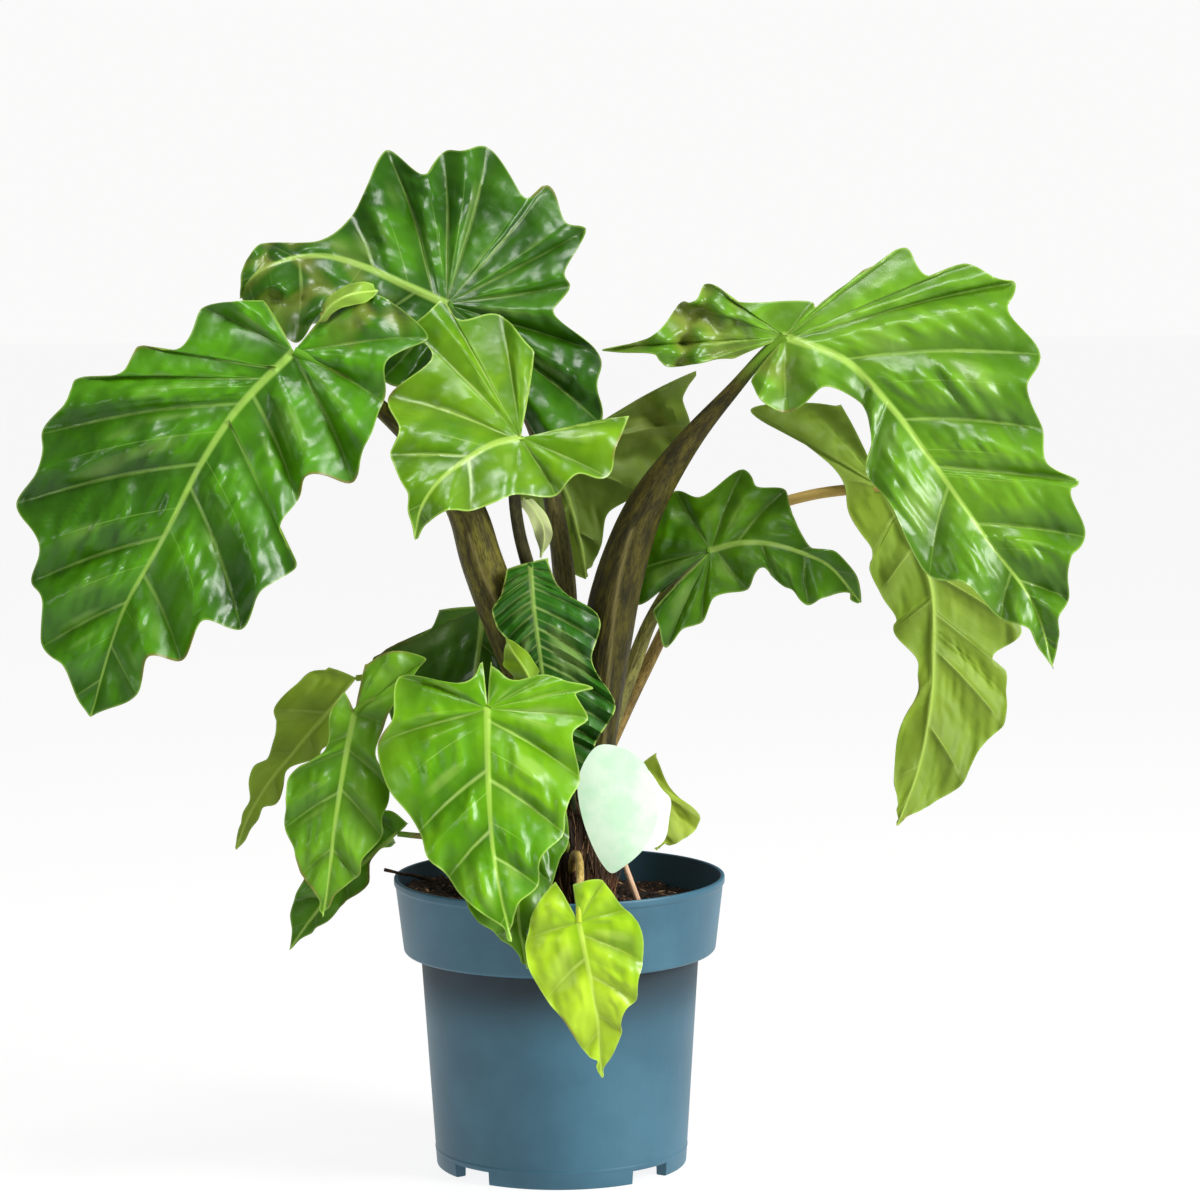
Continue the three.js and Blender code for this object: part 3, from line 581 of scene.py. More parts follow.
fibre_length = 16
fibre_spacing = 2.4
fibre_density = 60000
fibres = Nodes("crown_fibres", Length=fibre_length / 1000, Spacing=fibre_spacing / 1000)
fibre_spots, facing = fibres.scattered("Spacing", fibre_density, 9)
fibre_body = fibres.node("GeometryNodeMeshCone", inputs={
    "Vertices": 5, "Side Segments": 3, "Radius Top": 0.00012, "Radius Bottom": 0.00045,
    "Depth": fibres.size("Length")})
lean_out = fibres.drawn((-0.28, -0.28, 1), (0.28, 0.28, 1), 3)
outward = fibres.node("ShaderNodeVectorMath", {"operation": "SCALE"}, {
    0: facing, "Scale": 0.22})
growing = fibres.node("ShaderNodeVectorMath", {"operation": "ADD"}, {0: lean_out, 1: outward})
fibre_turn = fibres.node("FunctionNodeAlignRotationToVector", {"axis": "Z"}, {"Vector": growing})
fibre_size = fibres.drawn((0.6, 0.6, 0.35), (1.3, 1.3, 1.2), 5)
laid_fibres = fibres.laid(fibre_spots, fibre_body, fibre_turn, fibre_size, 21)
fibre_husk = Finish("fibre_husk", Roughness=0.8)
fibre_husk.set(Base_Color=fibre_husk.coat(
    tint("2a1b10"), tint("a97f55"), fibre_husk.ramp(fibre_husk.own("shade"), 0.45, 1) * 0.8
    + fibre_husk.noise(fibre_husk.place, 300) * 0.2))
crown_fibres = fibres.grow("crown_fibres", crown, laid_fibres, fibre_husk.material)


# Each leaf is a heart-shaped blade on a fleshy stalk. The blade is a thin skin with a thick rib and
# side veins that stand out below, and it swells into cushions between them on its upper side.
blade_half = 0.4
vein_lag = 0.5
vein_sweep = 0.6
vein_depth = 0.9
ripple_span = 16
ripple_reach = 30
rib_steps = 120
pucker_length = 9
pucker_height = 2.2
pleat_height = 1
crinkle_height = 2.4
edge_crinkle = 1.5
vein_bow = 0.04
vein_width = 1.3
last_vein_root = 0.93
row_crowding = 1.25
cushion_rows = 14
pleat_rows = 26
pleat_stretch = 0.22
crinkle_rows = 10
crinkle_length = 7
fold_crumple = 12
rib_above = 0.16
far_off = 1000.0
large_leaf_points = 28

# Leaves are laid out as they look from in front. The rib runs from the stalk to the tip as x, z and
# depth. Two edges run from the rear lobe to the tip, by turns the end of a vein and the hollow
# between two veins, some with a depth of their own. turn and lean slope the blade, droop bends its
# edges back, and wave and quilt are the heights of its waves and cushions. widths go with the
# stalk's points and the rib's start. Some leaves also have folds (x, z, reach and height), pleats
# (their height), vein_rate (how many times closer veins lie), vein_show (how pale they are) or
# stalk_top (the colour at the stalk's top).
leaves = [
    {
        "name": "left_leaf", "slot": "leaf_green", "face": 1, "turn": 0, "lean": 0.42,
        "droop": 9, "wave": 6.5, "quilt": 4.4, "rib_depth": 4.5, "colors": ("285501", "4b8a04"),
        "folds": [(-130, 625, 40, 4)],
        "rib": [(-187, 592, -62), (-227, 552, -78), (-254, 513, -92), (-282, 460, -104),
                (-314, 403, -112), (-338, 329, -116)],
        "left": [(-207, 627), (-229, 627), (-252, 623), (-267, 594), (-299, 596), (-309, 578),
                 (-342, 572), (-351, 560), (-368, 535), (-371, 511), (-388, 485), (-373, 455),
                 (-378, 429), (-370, 410), (-372, 381), (-357, 366), (-348, 345)],
        "right": [(-146, 640), (-122, 630), (-91, 601), (-121, 584), (-123, 555), (-137, 526),
                  (-146, 499), (-177, 504), (-186, 485), (-199, 465), (-187, 437), (-213, 422),
                  (-229, 392), (-256, 398), (-271, 369), (-294, 373), (-304, 346)],
        "stalk": [(1, 252, -7), (-2, 282, -9), (-9, 318, -13), (-23, 358, -17), (-39, 400, -21),
                  (-54, 441, -26), (-65, 477, -32), (-91, 517, -42), (-120, 546, -52),
                  (-155, 575, -60)],
        "widths": [20, 24, 28, 29, 30, 30, 27, 19, 13, 9, 7], "stalk_colors": ("3a3409", "6b661e"),
    },
    {
        "name": "top_leaf", "slot": "leaf_green", "face": 1, "turn": 0, "lean": 0.6,
        "droop": 0, "wave": 6, "quilt": 4.4, "rib_depth": 4.5, "colors": ("1f4801", "3a6e03"),
        "folds": [(-202, 650, 44, 13), (-150, 625, 30, 5)],
        "rib": [(-77, 625, 15), (-107, 639, 12), (-136, 652, 10), (-164, 660, 4),
                (-193, 657, -8), (-214, 647, -16), (-225, 630, -12)],
        "left": [(-14, 530, 20), (7, 525, 22), (32, 538, 24), (30, 566, 20), (31, 591, 12),
                 (0, 619), (12, 637), (8, 647), (23, 677), (9, 684), (-3, 708), (-20, 701),
                 (-47, 737), (-63, 735), (-79, 732), (-93, 717), (-119, 734), (-130, 714),
                 (-144, 689), (-168, 671), (-205, 670), (-218, 659), (-225, 643)],
        "right": [(-91, 579), (-109, 568), (-123, 572), (-124, 596), (-145, 607), (-173, 613),
                  (-185, 598), (-200, 616), (-215, 623)],
        "stalk": [(10, 252, 13), (9, 300, 16), (8, 350, 18), (7, 397, 20), (5, 433, 22),
                  (-1, 476, 24), (-12, 527, 26), (-36, 577, 26), (-61, 610, 23)],
        "widths": [14, 15, 16, 16.5, 16, 14, 11, 9, 7.5, 6.5], "stalk_colors": ("514d24", "746d3a"),
    },
    {
        "name": "lime_leaf", "slot": "leaf_lime", "face": 1, "turn": 0.12, "lean": 0.5,
        "droop": 6, "wave": 4.5, "quilt": 3.2, "rib_depth": 3.5, "colors": ("3f6e02", "658d06"),
        "vein_show": 0.7,
        "rib": [(-25, 529, -66), (-46, 524, -84), (-68, 511, -102), (-85, 497, -114),
                (-97, 479, -120), (-102, 456, -118)],
        "left": [(-15, 590), (-28, 605), (-40, 617), (-69, 613), (-79, 627), (-89, 621),
                 (-103, 608), (-89, 589), (-120, 560), (-113, 535), (-119, 516), (-108, 494),
                 (-106, 476)],
        "right": [(53, 544), (46, 524), (35, 499), (14, 502), (0, 487), (-32, 488), (-62, 478),
                  (-80, 477), (-93, 468)],
        "stalk": [(-2, 252, 10), (-3, 300, 9), (-3, 340, 4), (-8, 378, -6), (-18, 426, -20),
                  (-27, 462, -34), (-30, 491, -48), (-28, 514, -58)],
        "widths": [8, 9, 10, 10, 10, 9, 8.5, 7, 6], "stalk_colors": ("2a280f", "48451f"),
    },
    {
        "name": "right_leaf", "slot": "leaf_green", "face": 1, "turn": -0.06, "lean": 0.42,
        "droop": 6, "wave": 6.5, "quilt": 4.4, "rib_depth": 4.5, "colors": ("3f6b0c", "62901a"),
        "folds": [(90, 606, 52, 12), (150, 572, 22, 5)],
        "rib": [(165, 600, -20), (207, 583, -30), (240, 550, -42), (272, 507, -54),
                (310, 453, -66), (344, 405, -74), (358, 359, -78)],
        "left": [(129, 585), (106, 582), (80, 580), (70, 587), (34, 592), (66, 600), (91, 624),
                 (101, 627), (108, 638), (132, 626), (184, 624), (188, 622), (214, 642),
                 (228, 650), (252, 663), (265, 642), (294, 651), (310, 643), (330, 636),
                 (325, 621), (347, 587), (339, 564), (350, 533), (352, 510), (377, 494),
                 (371, 489), (379, 454), (369, 439), (370, 410), (362, 394), (362, 376)],
        "right": [(141, 570), (148, 555), (166, 546), (195, 563), (220, 551), (227, 525),
                  (222, 502), (243, 476), (268, 426), (294, 421), (319, 395), (341, 388),
                  (347, 376)],
        "stalk": [(24, 252, -5), (25, 285, -8), (28, 325, -11), (36, 382, -13), (45, 426, -15),
                  (63, 476, -17), (96, 526, -18), (128, 563, -18), (154, 592, -18)],
        "widths": [23, 27, 32, 35, 34, 28, 17, 10, 7.5, 6.5], "stalk_colors": ("252204", "4a440e"),
    },
    {
        "name": "mid_right_leaf", "slot": "leaf_green", "face": 1, "turn": -0.3, "lean": 0.25,
        "droop": 6, "wave": 2.5, "quilt": 2.9, "rib_depth": 3, "colors": ("346001", "528204"),
        "rib": [(111, 447, 2), (133, 452, -8), (155, 451, -18), (175, 445, -26), (196, 435, -32),
                (219, 408, -36)],
        "left": [(77, 417, 6), (59, 408, 6), (57, 433), (71, 465), (86, 490), (104, 484),
                 (135, 504), (144, 494), (165, 490), (171, 469), (183, 450), (198, 447),
                 (214, 430)],
        "right": [(70, 405, -8), (71, 396, -6), (79, 377), (91, 389), (105, 395), (114, 412),
                  (136, 419), (147, 433), (158, 424), (169, 416), (181, 405), (192, 411),
                  (208, 416), (212, 412), (215, 409.5)],
        "stalk": [(27, 252, 11), (32, 300, 17), (42, 332, 24), (54, 362, 32), (67, 395, 37),
                  (84, 424, 34), (101, 441, 20)],
        "widths": [11, 12, 13, 12, 10, 8, 6.5, 5.5], "stalk_colors": ("5b5a26", "8c8a45"),
    },
    {
        "name": "far_right_leaf", "slot": "leaf_underside", "face": -1, "turn": 0,
        "lean": 0.15, "droop": 8, "wave": 3, "quilt": 2.9, "rib_depth": 4,
        "colors": ("53700a", "718c12"),
        "rib": [(235, 491, 48), (250, 460, 50), (268, 424, 46), (271, 380, 38), (269, 333, 26),
                (260, 286, 12), (245, 245, 0)],
        "left": [(205, 551), (175, 553), (140, 549), (177, 523), (205, 497), (212, 471),
                 (227, 444), (224, 434), (233, 415), (246, 395), (243, 388), (260, 364),
                 (260, 344), (249, 319), (242, 279), (246, 262), (246, 251)],
        "right": [(272, 532), (308, 503), (326, 452), (319, 416), (334, 386), (314, 367),
                  (324, 357), (324, 336), (322, 318), (305, 301), (293, 277), (272, 262),
                  (253, 251)],
        "stalk": [(20, 252, 20), (31, 290, 28), (46, 325, 38), (63, 360, 48), (90, 412, 56),
                  (121, 455, 62), (153, 477, 63), (182, 486, 62), (211, 490, 59)],
        "widths": [8, 9.5, 10, 9.5, 9, 8.5, 8, 8, 8, 7], "stalk_colors": ("705d30", "a08748"),
        "stalk_top": "c9a95a",
    },
    {
        "name": "back_leaf", "slot": "leaf_underside", "face": -1, "turn": 0, "lean": 0.1,
        "droop": 5, "wave": 2.5, "quilt": 2.9, "rib_depth": 3, "colors": ("3a5607", "58730f"),
        "folds": [(75, 550, 45, 12)],
        "rib": [(-5, 518, 52), (4, 497, 56), (12, 473, 56), (18, 449, 52), (21, 427, 46)],
        "left": [(-29, 488), (-18, 475), (-6, 458), (2, 443), (13, 432)],
        "right": [(101, 576), (92, 556), (97, 538), (80, 515), (60, 489), (37, 473), (32, 451),
                  (25, 439), (22, 431)],
        "stalk": [(2, 252, 18), (2, 300, 28), (3, 360, 42), (2, 430, 56), (-1, 490, 64)],
        "widths": [7, 8, 8, 7, 6, 5], "stalk_colors": ("4f5a24", "748036"),
    },
    {
        "name": "low_left_back_leaf", "slot": "leaf_underside", "face": -1, "turn": 0,
        "lean": 0.2, "droop": 6, "wave": 2, "quilt": 2.1, "rib_depth": 2.5,
        "colors": ("58770e", "7e9a1c"),
        "rib": [(-145, 356, -26), (-163, 335, -34), (-187, 307, -44), (-211, 278, -52),
                (-226, 253, -58), (-234, 231, -60)],
        "left": [(-165, 364), (-186, 355), (-206, 334), (-204, 322), (-210, 302), (-221, 289),
                 (-225, 269), (-230, 253), (-233, 242)],
        "right": [(-150, 311), (-168, 305), (-177, 298), (-195, 290), (-203, 266), (-215, 261),
                  (-223, 245)],
        "stalk": [(6, 236, -2), (-18, 266, -8), (-45, 310, -24), (-88, 343, -34),
                  (-125, 357, -34)],
        "widths": [7, 7, 6.5, 6, 5, 4.5], "stalk_colors": ("5d5c2c", "85844a"),
    },
    {
        "name": "low_left_leaf", "slot": "leaf_green", "face": 1, "turn": 0, "lean": 0.3,
        "droop": 6, "wave": 2.5, "quilt": 2.9, "rib_depth": 3, "colors": ("40700a", "639614"),
        "rib": [(-147, 331, -72), (-153, 303, -84), (-159, 270, -96), (-164, 237, -106),
                (-168, 204, -112), (-172, 181, -114)],
        "left": [(-154, 346), (-166, 330), (-168, 308), (-179, 297), (-193, 286), (-198, 267),
                 (-200, 247), (-191, 227), (-187, 213), (-179, 199), (-174, 188)],
        "right": [(-139, 366), (-118, 375), (-95, 370), (-111, 347), (-126, 321), (-132, 300),
                  (-122, 274), (-127, 256), (-128, 240), (-142, 223), (-147, 209), (-161, 199),
                  (-168, 189)],
        "stalk": [(8, 238, -12), (-14, 270, -30), (-52, 314, -50), (-100, 340, -62),
                  (-135, 339, -68)],
        "widths": [8, 8, 7, 6.5, 5.5, 5], "stalk_colors": ("566024", "7f8a3c"),
    },
    {
        "name": "low_left_under_leaf", "slot": "leaf_green", "face": 1, "turn": 0, "lean": 0.2,
        "droop": 5, "wave": 2, "quilt": 2.1, "rib_depth": 2.5, "colors": ("335d06", "4c7f0d"),
        "rib": [(-117, 242, -34), (-134, 228, -46), (-156, 208, -58), (-176, 186, -66),
                (-197, 157, -72)],
        "left": [(-109, 250), (-120, 258), (-134, 256), (-155, 245), (-175, 230), (-186, 208),
                 (-193, 194), (-195, 175)],
        "right": [(-119, 235), (-127, 232), (-137, 220), (-140, 206), (-153, 195), (-161, 184),
                  (-176, 172), (-187, 166)],
        "stalk": [(6, 226, -6), (-18, 236, -18), (-50, 243, -25), (-95, 240, -31)],
        "widths": [6, 6, 5, 4.5, 4], "stalk_colors": ("796d40", "a3945e"),
    },
    {
        "name": "shaded_leaf", "slot": "leaf_dark", "face": 1, "turn": 0, "lean": 0,
        "droop": 5, "wave": 2, "quilt": 2.1, "rib_depth": 3, "colors": ("30560c", "4a7617"),
        "rib": [(-53, 408, 14), (-56, 383, 12), (-59, 361, 8), (-63, 328, 0), (-70, 292, -10)],
        "left": [(-85, 405), (-94, 390), (-111, 383), (-123, 376), (-134, 371), (-125, 340),
                 (-115, 314)],
        "right": [(-40, 394), (-38, 386), (-36, 378), (-33, 370), (-30, 356), (-31, 328),
                  (-46, 303)],
        "stalk": [(-6, 250, 4), (-12, 290, 12), (-20, 340, 20), (-34, 392, 26), (-47, 415, 26)],
        "widths": [7, 8, 7.5, 7, 6.5, 5], "stalk_colors": ("424c1e", "626f2e"),
    },
    {
        "name": "front_leaf", "slot": "leaf_lime", "face": 1, "turn": 0, "lean": 0.3,
        "droop": 8, "wave": 3, "quilt": 3.2, "rib_depth": 3.5, "colors": ("4a8403", "72a60a"),
        "vein_show": 0.8,
        "rib": [(-51, 333, -98), (-51, 295, -116), (-50, 259, -130), (-47, 222, -144),
                (-41, 189, -156), (-35, 162, -160)],
        "left": [(-54, 367), (-67, 352), (-114, 356), (-121, 327), (-131, 308), (-122, 272),
                 (-101, 244), (-96, 227), (-79, 209), (-65, 190), (-44, 174)],
        "right": [(-48, 367), (-36, 355), (-6, 357), (7, 353), (25, 348), (14, 344), (21, 325),
                  (10, 313), (16, 282), (6, 263), (4, 242), (-13, 225), (-15, 203),
                  (-31, 188), (-35, 174)],
        "stalk": [(8, 236, -12), (-9, 270, -36), (-28, 304, -60), (-41, 328, -79),
                  (-48, 336, -88)],
        "widths": [9, 9, 8, 7, 6, 5.5], "stalk_colors": ("5d6a1a", "86982c"),
    },
    {
        "name": "front_under_leaf", "slot": "leaf_green", "face": 1, "turn": 0, "lean": 0.25,
        "droop": 5, "wave": 2, "quilt": 2.1, "rib_depth": 2.5, "colors": ("3f7006", "5e910b"),
        "rib": [(-27, 266, -84), (-28, 233, -104), (-30, 200, -124), (-29, 170, -136),
                (-24, 142, -142)],
        "left": [(-43, 281), (-56, 266), (-66, 237), (-71, 211), (-66, 187), (-55, 174),
                 (-42, 164), (-32, 153), (-27, 146)],
        "right": [(-10, 279), (2, 266), (7, 239), (0, 220), (-5, 203), (-16, 185), (-24, 167),
                  (-21, 156), (-21.5, 149)],
        "stalk": [(8, 218, -10), (2, 240, -32), (-10, 262, -58), (-22, 271, -76)],
        "widths": [7, 7, 6, 5, 4.5], "stalk_colors": ("606b26", "88953c"),
    },
    {
        "name": "young_leaf", "slot": "leaf_dark", "face": 1, "turn": 0, "lean": 0,
        "droop": 6, "wave": 2.5, "quilt": 1.5, "rib_depth": 2.5, "colors": ("184408", "2e680d"),
        "vein_show": 0.9, "pleats": 0.8, "vein_rate": 4,
        "rib": [(-19, 439, -42), (-17, 408, -50), (-13, 375, -54), (-8, 339, -56),
                (1, 306, -56), (14, 273, -54)],
        "left": [(-36, 434), (-41, 415), (-47, 407), (-42, 391), (-32, 375), (-29, 353),
                 (-21, 324), (-10, 299), (3, 280)],
        "right": [(-6, 442), (2, 420), (30, 397), (25, 368), (42, 335), (28, 309), (24, 291)],
        "stalk": [(11, 246, -16), (9, 275, -25), (5, 320, -33), (-3, 370, -38), (-11, 410, -38)],
        "widths": [6, 6, 5.5, 5, 4.5, 4], "stalk_colors": ("29341a", "43522a"),
    },
    {
        "name": "small_front_leaf", "slot": "leaf_lime", "face": 1, "turn": 0, "lean": 0.12,
        "droop": 8, "wave": 2, "quilt": 2.1, "rib_depth": 2.5, "colors": ("7fab12", "b4d22a"),
        "vein_show": 0.6,
        "rib": [(14, 176, -146), (18, 155, -150), (23, 129, -152), (27, 103, -150),
                (30, 61, -146)],
        "left": [(-3, 206), (-16, 186), (-25, 164), (-22, 144), (-9, 118), (3, 101), (16, 82),
                 (25, 74), (27, 68)],
        "right": [(10, 203), (22, 207), (31, 206), (37, 199), (49, 184), (57, 176), (61, 147),
                  (57, 129), (55, 116), (46, 107), (44, 94), (35, 76), (31, 68)],
        "stalk": [(9, 206, -12), (10, 222, -34), (13, 226, -70), (15, 217, -105),
                  (15, 202, -132), (14, 187, -143)],
        "widths": [6, 6, 5.5, 5.5, 5, 4.5, 4], "stalk_colors": ("a58a45", "c9ae68"),
    },
    {
        "name": "label_side_leaf", "slot": "leaf_underside", "face": -1, "turn": 0, "lean": 0,
        "droop": 5, "wave": 2, "quilt": 2.1, "rib_depth": 2.5, "colors": ("6b7e10", "8d9f1d"),
        "rib": [(57, 289, -14), (64, 272, -20), (69, 250, -26), (71, 229, -28)],
        "left": [(46, 290), (42, 273), (45, 254), (55, 239), (66, 231)],
        "right": [(71, 300), (80, 275), (102, 251), (97, 241), (85, 233), (79, 233), (73, 231)],
        "stalk": [(22, 230, 2), (34, 256, -2), (44, 279, -6), (52, 291, -10)],
        "widths": [6, 6, 5, 4.5, 4], "stalk_colors": ("717c30", "99a54a"),
    },
]


def blade_finish(name, colors, vein_show):
    """Green skin with pale ribs, veins and margin, glossy above and satin below, with painted
    light on its cushions, puckers and pleats and painted shade in its hollows.
    """
    skin = Finish(name, IOR=1.37)
    rib, vein, edge = (skin.own(part) for part in ("rib", "vein", "edge"))
    under, quilt, swell, streak = (skin.own(part) for part in ("under", "quilt", "swell", "streak"))
    soft = skin.noise(skin.place, 11, 3)
    fine = skin.noise(skin.place, 150, 3)
    warped = skin.node("ShaderNodeVectorMath", {"operation": "ADD"}, {
        0: skin.place, 1: skin.node("ShaderNodeVectorMath", {"operation": "SCALE"}, {
            0: skin.node("ShaderNodeTexNoise", inputs={
                "Vector": skin.place, "Scale": 45, "Detail": 2}, output="Color"),
            "Scale": 0.02})})
    cells = skin.node("ShaderNodeTexVoronoi", {"feature": "SMOOTH_F1"}, {
        "Vector": warped, "Scale": 62, "Smoothness": 0.8})
    deep, light = (tint(code) for code in colors)
    # Random tone of the skin, with painted light that lightens the crests of the puckers.
    tone_and_crest_light = skin.ramp(soft, 0.36, 0.66) * 0.65 + skin.ramp(swell, 0.4, 0.8) * 0.2
    green = skin.coat(deep, light, tone_and_crest_light)
    # Painted light and shade: the cushions between the veins and the pucker crests are lit up, and the
    # sunken veins and the hollows of the cells are darkened, beside a fine random tone.
    green = skin.lit(green, 0.5 + quilt * 0.44 + swell * 0.28 + fine * 0.18 - cells * 0.1)
    pale = skin.coat(light, tint("b9d27a"), 0.45)
    fading = skin.ramp(edge, 0, 32) * 0.7 + 0.3
    green = skin.coat(green, pale, skin.ramp(vein, 2.6, 0.3) * fading * vein_show)
    # Painted highlight: a pale sheen laid along the crests of the pleats.
    green = skin.coat(green, pale, skin.ramp(streak, 0.62, 0.92) * vein_show * 0.55)
    rib_pale = skin.coat(light, tint("bfdc6e"), 0.42)
    green = skin.coat(green, rib_pale, skin.ramp(rib, 1.1, 0.4) * 0.85)
    green = skin.coat(green, tint("b4d465"), skin.ramp(edge, 1.7, 0.3) * vein_show * 0.6)
    dry = skin.ramp(edge, 2.6, 0.5) * skin.ramp(soft, 0.6, 0.66)
    green = skin.coat(green, tint("6f5a2a"), dry * 0.7)
    green = skin.coat(green, tint("7d8238"), skin.own("olive") * 0.65)
    below = skin.coat(green, tint("87a032"), 0.35)
    relief = fine * 0.06 - cells
    skin.set(
        Base_Color=skin.coat(green, below, under),
        Roughness=0.16 + fine * 0.12 + soft * 0.2 + under * 0.26,
        Normal=skin.bump(relief, 0.0026, 0.55))
    return skin.material


def vein_roots(rib_line, edge):
    """Where each edge point's vein leaves the rib, as a share of the rib."""
    length = np.linalg.norm(np.diff(rib_line[:, :2], axis=0), axis=1).sum()
    last, roots = 0.0, []
    for x, z, *_ in edge:
        gaps = np.hypot(rib_line[:, 0] - x, rib_line[:, 1] - z)
        nearest = gaps.argmin()
        share = nearest / (len(rib_line) - 1)
        share -= (vein_lag + vein_sweep * share) * gaps[nearest] / length
        last = max(last, min(max(share, 0), last_vein_root))
        roots.append(last)
    return np.array([*roots, 1.0])


def even_steps(line, count):
    travelled = np.concatenate([[0], np.cumsum(np.linalg.norm(np.diff(line, axis=0), axis=1))])
    wanted = np.linspace(0, travelled[-1], count + 1)
    return np.column_stack([np.interp(wanted, travelled, line[:, i]) for i in range(line.shape[1])])


def near_to(points, line):
    """Each point's distance to the line in the layout, and the nearest place on it."""
    gaps = np.linalg.norm(points[:, None, :2] - line[None, :, :2], axis=2)
    return gaps.min(axis=1), gaps.argmin(axis=1)


def room_between(knots, feet, place, t):
    """How far the place a share t of the way out lies from the lines of the next knots."""
    spots = feet + (knots - feet) * t
    gaps = np.full((2, len(knots)), far_off)
    before, after = slice(None, -1), slice(1, None)
    for side, (own, other) in enumerate(((after, before), (before, after))):
        line = knots[other] - feet[other]
        off = spots[own] - feet[other]
        length = np.maximum(np.hypot(*line.T), 1e-6)
        gaps[side, own] = np.abs(off[:, 0] * line[:, 1] - off[:, 1] * line[:, 0]) / length
    return np.interp(place, np.arange(len(knots)), gaps.min(axis=0))


def half_blade(leaf, rib_line, edge, number, steps, shares):
    """One half of the blade: its margin, the rib step each column starts from, a grid of x, z,
    depth, olive, swell and streak, the height of its cushions, and the distance to its veins.
    """
    forward = rib_line[-1, :2] - rib_line[0, :2]
    forward /= np.linalg.norm(forward)
    ends = np.array([[x, z, *(extra or [0])] for x, z, *extra in edge])
    tip = np.array([*rib_line[-1, :2], 0])
    roots = vein_roots(rib_line, edge)
    margin = curve_through(np.vstack([ends, tip]), steps)
    place = np.arange(len(margin)) / steps
    knots = np.vstack([ends[:, :2], tip[:2]])
    feet = rib_line[np.round(roots * rib_steps).astype(int), :2]
    seed = number + ends[0, 0]
    for axis in (0, 1):
        shift = crumbs(place * crinkle_rows, 0 * place + 30 * axis, 6, seed)
        margin[1:-1, axis] += edge_crinkle * shift[1:-1]
    root_step = np.round(np.interp(place, np.arange(len(roots)), roots) * rib_steps).astype(int)
    root = rib_line[root_step]
    vein_rate = leaf.get("vein_rate", 1)
    order = place * vein_rate
    within = order % 2
    from_vein = np.minimum(within, 2 - within)
    crest = 1 - (1 - from_vein) ** 2
    dx, dz = margin[:, 0] - root[:, 0], margin[:, 1] - root[:, 1]
    width = np.hypot(dx, dz)
    slope = leaf["turn"] * dx + leaf["lean"] * dz + margin[:, 2]
    grid = []
    for t in shares:
        room = room_between(knots, feet, place, t)
        fade = np.minimum(1, np.minimum(width / ripple_reach, room / ripple_span))
        swell = np.sin(np.pi * t)
        reach = width * t
        along_edge = place * cushion_rows
        pucker = crumbs(reach, along_edge, pucker_length, seed)
        pucker = pucker + 0.5 * crumbs(reach, along_edge + 5, pucker_length / 2, seed)
        pucker = pucker * crest * np.minimum(1, reach / 20) * (1 - t ** 6)
        pleats = crumbs(reach * pleat_stretch, place * pleat_rows, pucker_length, seed + 3)
        pleats = pleats * np.minimum(1, reach / 12)
        ripple = leaf["wave"] * t * t * np.cos(np.pi * from_vein)
        crinkle = crumbs(place * crinkle_rows, reach, crinkle_length, seed)
        ripple = ripple + crinkle_height * t ** 5 * crinkle
        ripple = ripple + leaf["quilt"] * swell * (1 - 2 * crest) - pucker_height * pucker
        ripple = ripple + pleats * swell * leaf.get("pleats", pleat_height)
        depth = root[:, 2] + slope * t + leaf["droop"] * (reach / 100) ** 2
        depth = depth + leaf["face"] * fade * ripple
        bow = vein_bow * width * fade * swell
        x, z = root[:, 0] + dx * t - forward[0] * bow, root[:, 1] + dz * t - forward[1] * bow
        olive = np.zeros(len(x))
        for fold_x, fold_z, fold_reach, fold_height in leaf.get("folds", ()):
            near = np.exp(-1.5 * ((x - fold_x) ** 2 + (z - fold_z) ** 2) / fold_reach ** 2)
            turned_over = crumbs(0.8 * x + 0.6 * z, 0.8 * z - 0.6 * x, fold_crumple, seed)
            depth = depth + fold_height * near * turned_over * np.minimum(1, reach / 15)
            olive = olive + near * np.clip(0.5 + 1.6 * turned_over, 0, 1)
        grid.append(np.column_stack(
            [x, z, depth, olive, 0.5 + 0.5 * pucker, 0.5 - 0.5 * pleats * swell]))
    grid = np.array(grid)
    to_vein = np.full(grid.shape[:2], far_off)
    for nearest, thinner in ((2 * np.round(order / 2), 1), (2 * np.floor(order / 2) + 1, 2)):
        column = (np.clip(nearest / vein_rate, 0, len(edge) - 1) * steps).astype(int)
        gap = np.hypot(*(grid[:, :, :2] - grid[:, column, :2]).transpose(2, 0, 1))
        to_vein = np.minimum(to_vein, gap * thinner + thinner - 1)
    return margin, root_step, grid, crest, to_vein


def half_faces(index, root_step):
    """The faces of one half from the rib to the margin, where index numbers its columns' points."""
    columns, rows = index.shape
    half = []
    for j in range(columns):
        near = index[j]
        far = index[j + 1] if j + 1 < columns else np.full(rows, rib_steps)
        for step in range(root_step[j], root_step[j + 1]):
            half.append((near[0], step, step + 1))
        if far[0] != rib_steps:
            half.append((near[0], root_step[j + 1], far[0]))
        for row in range(rows - 1):
            ring = (near[row], far[row], far[row + 1], near[row + 1])
            half.append(ring if far[0] != rib_steps else (near[row], far[row], near[row + 1]))
    return half


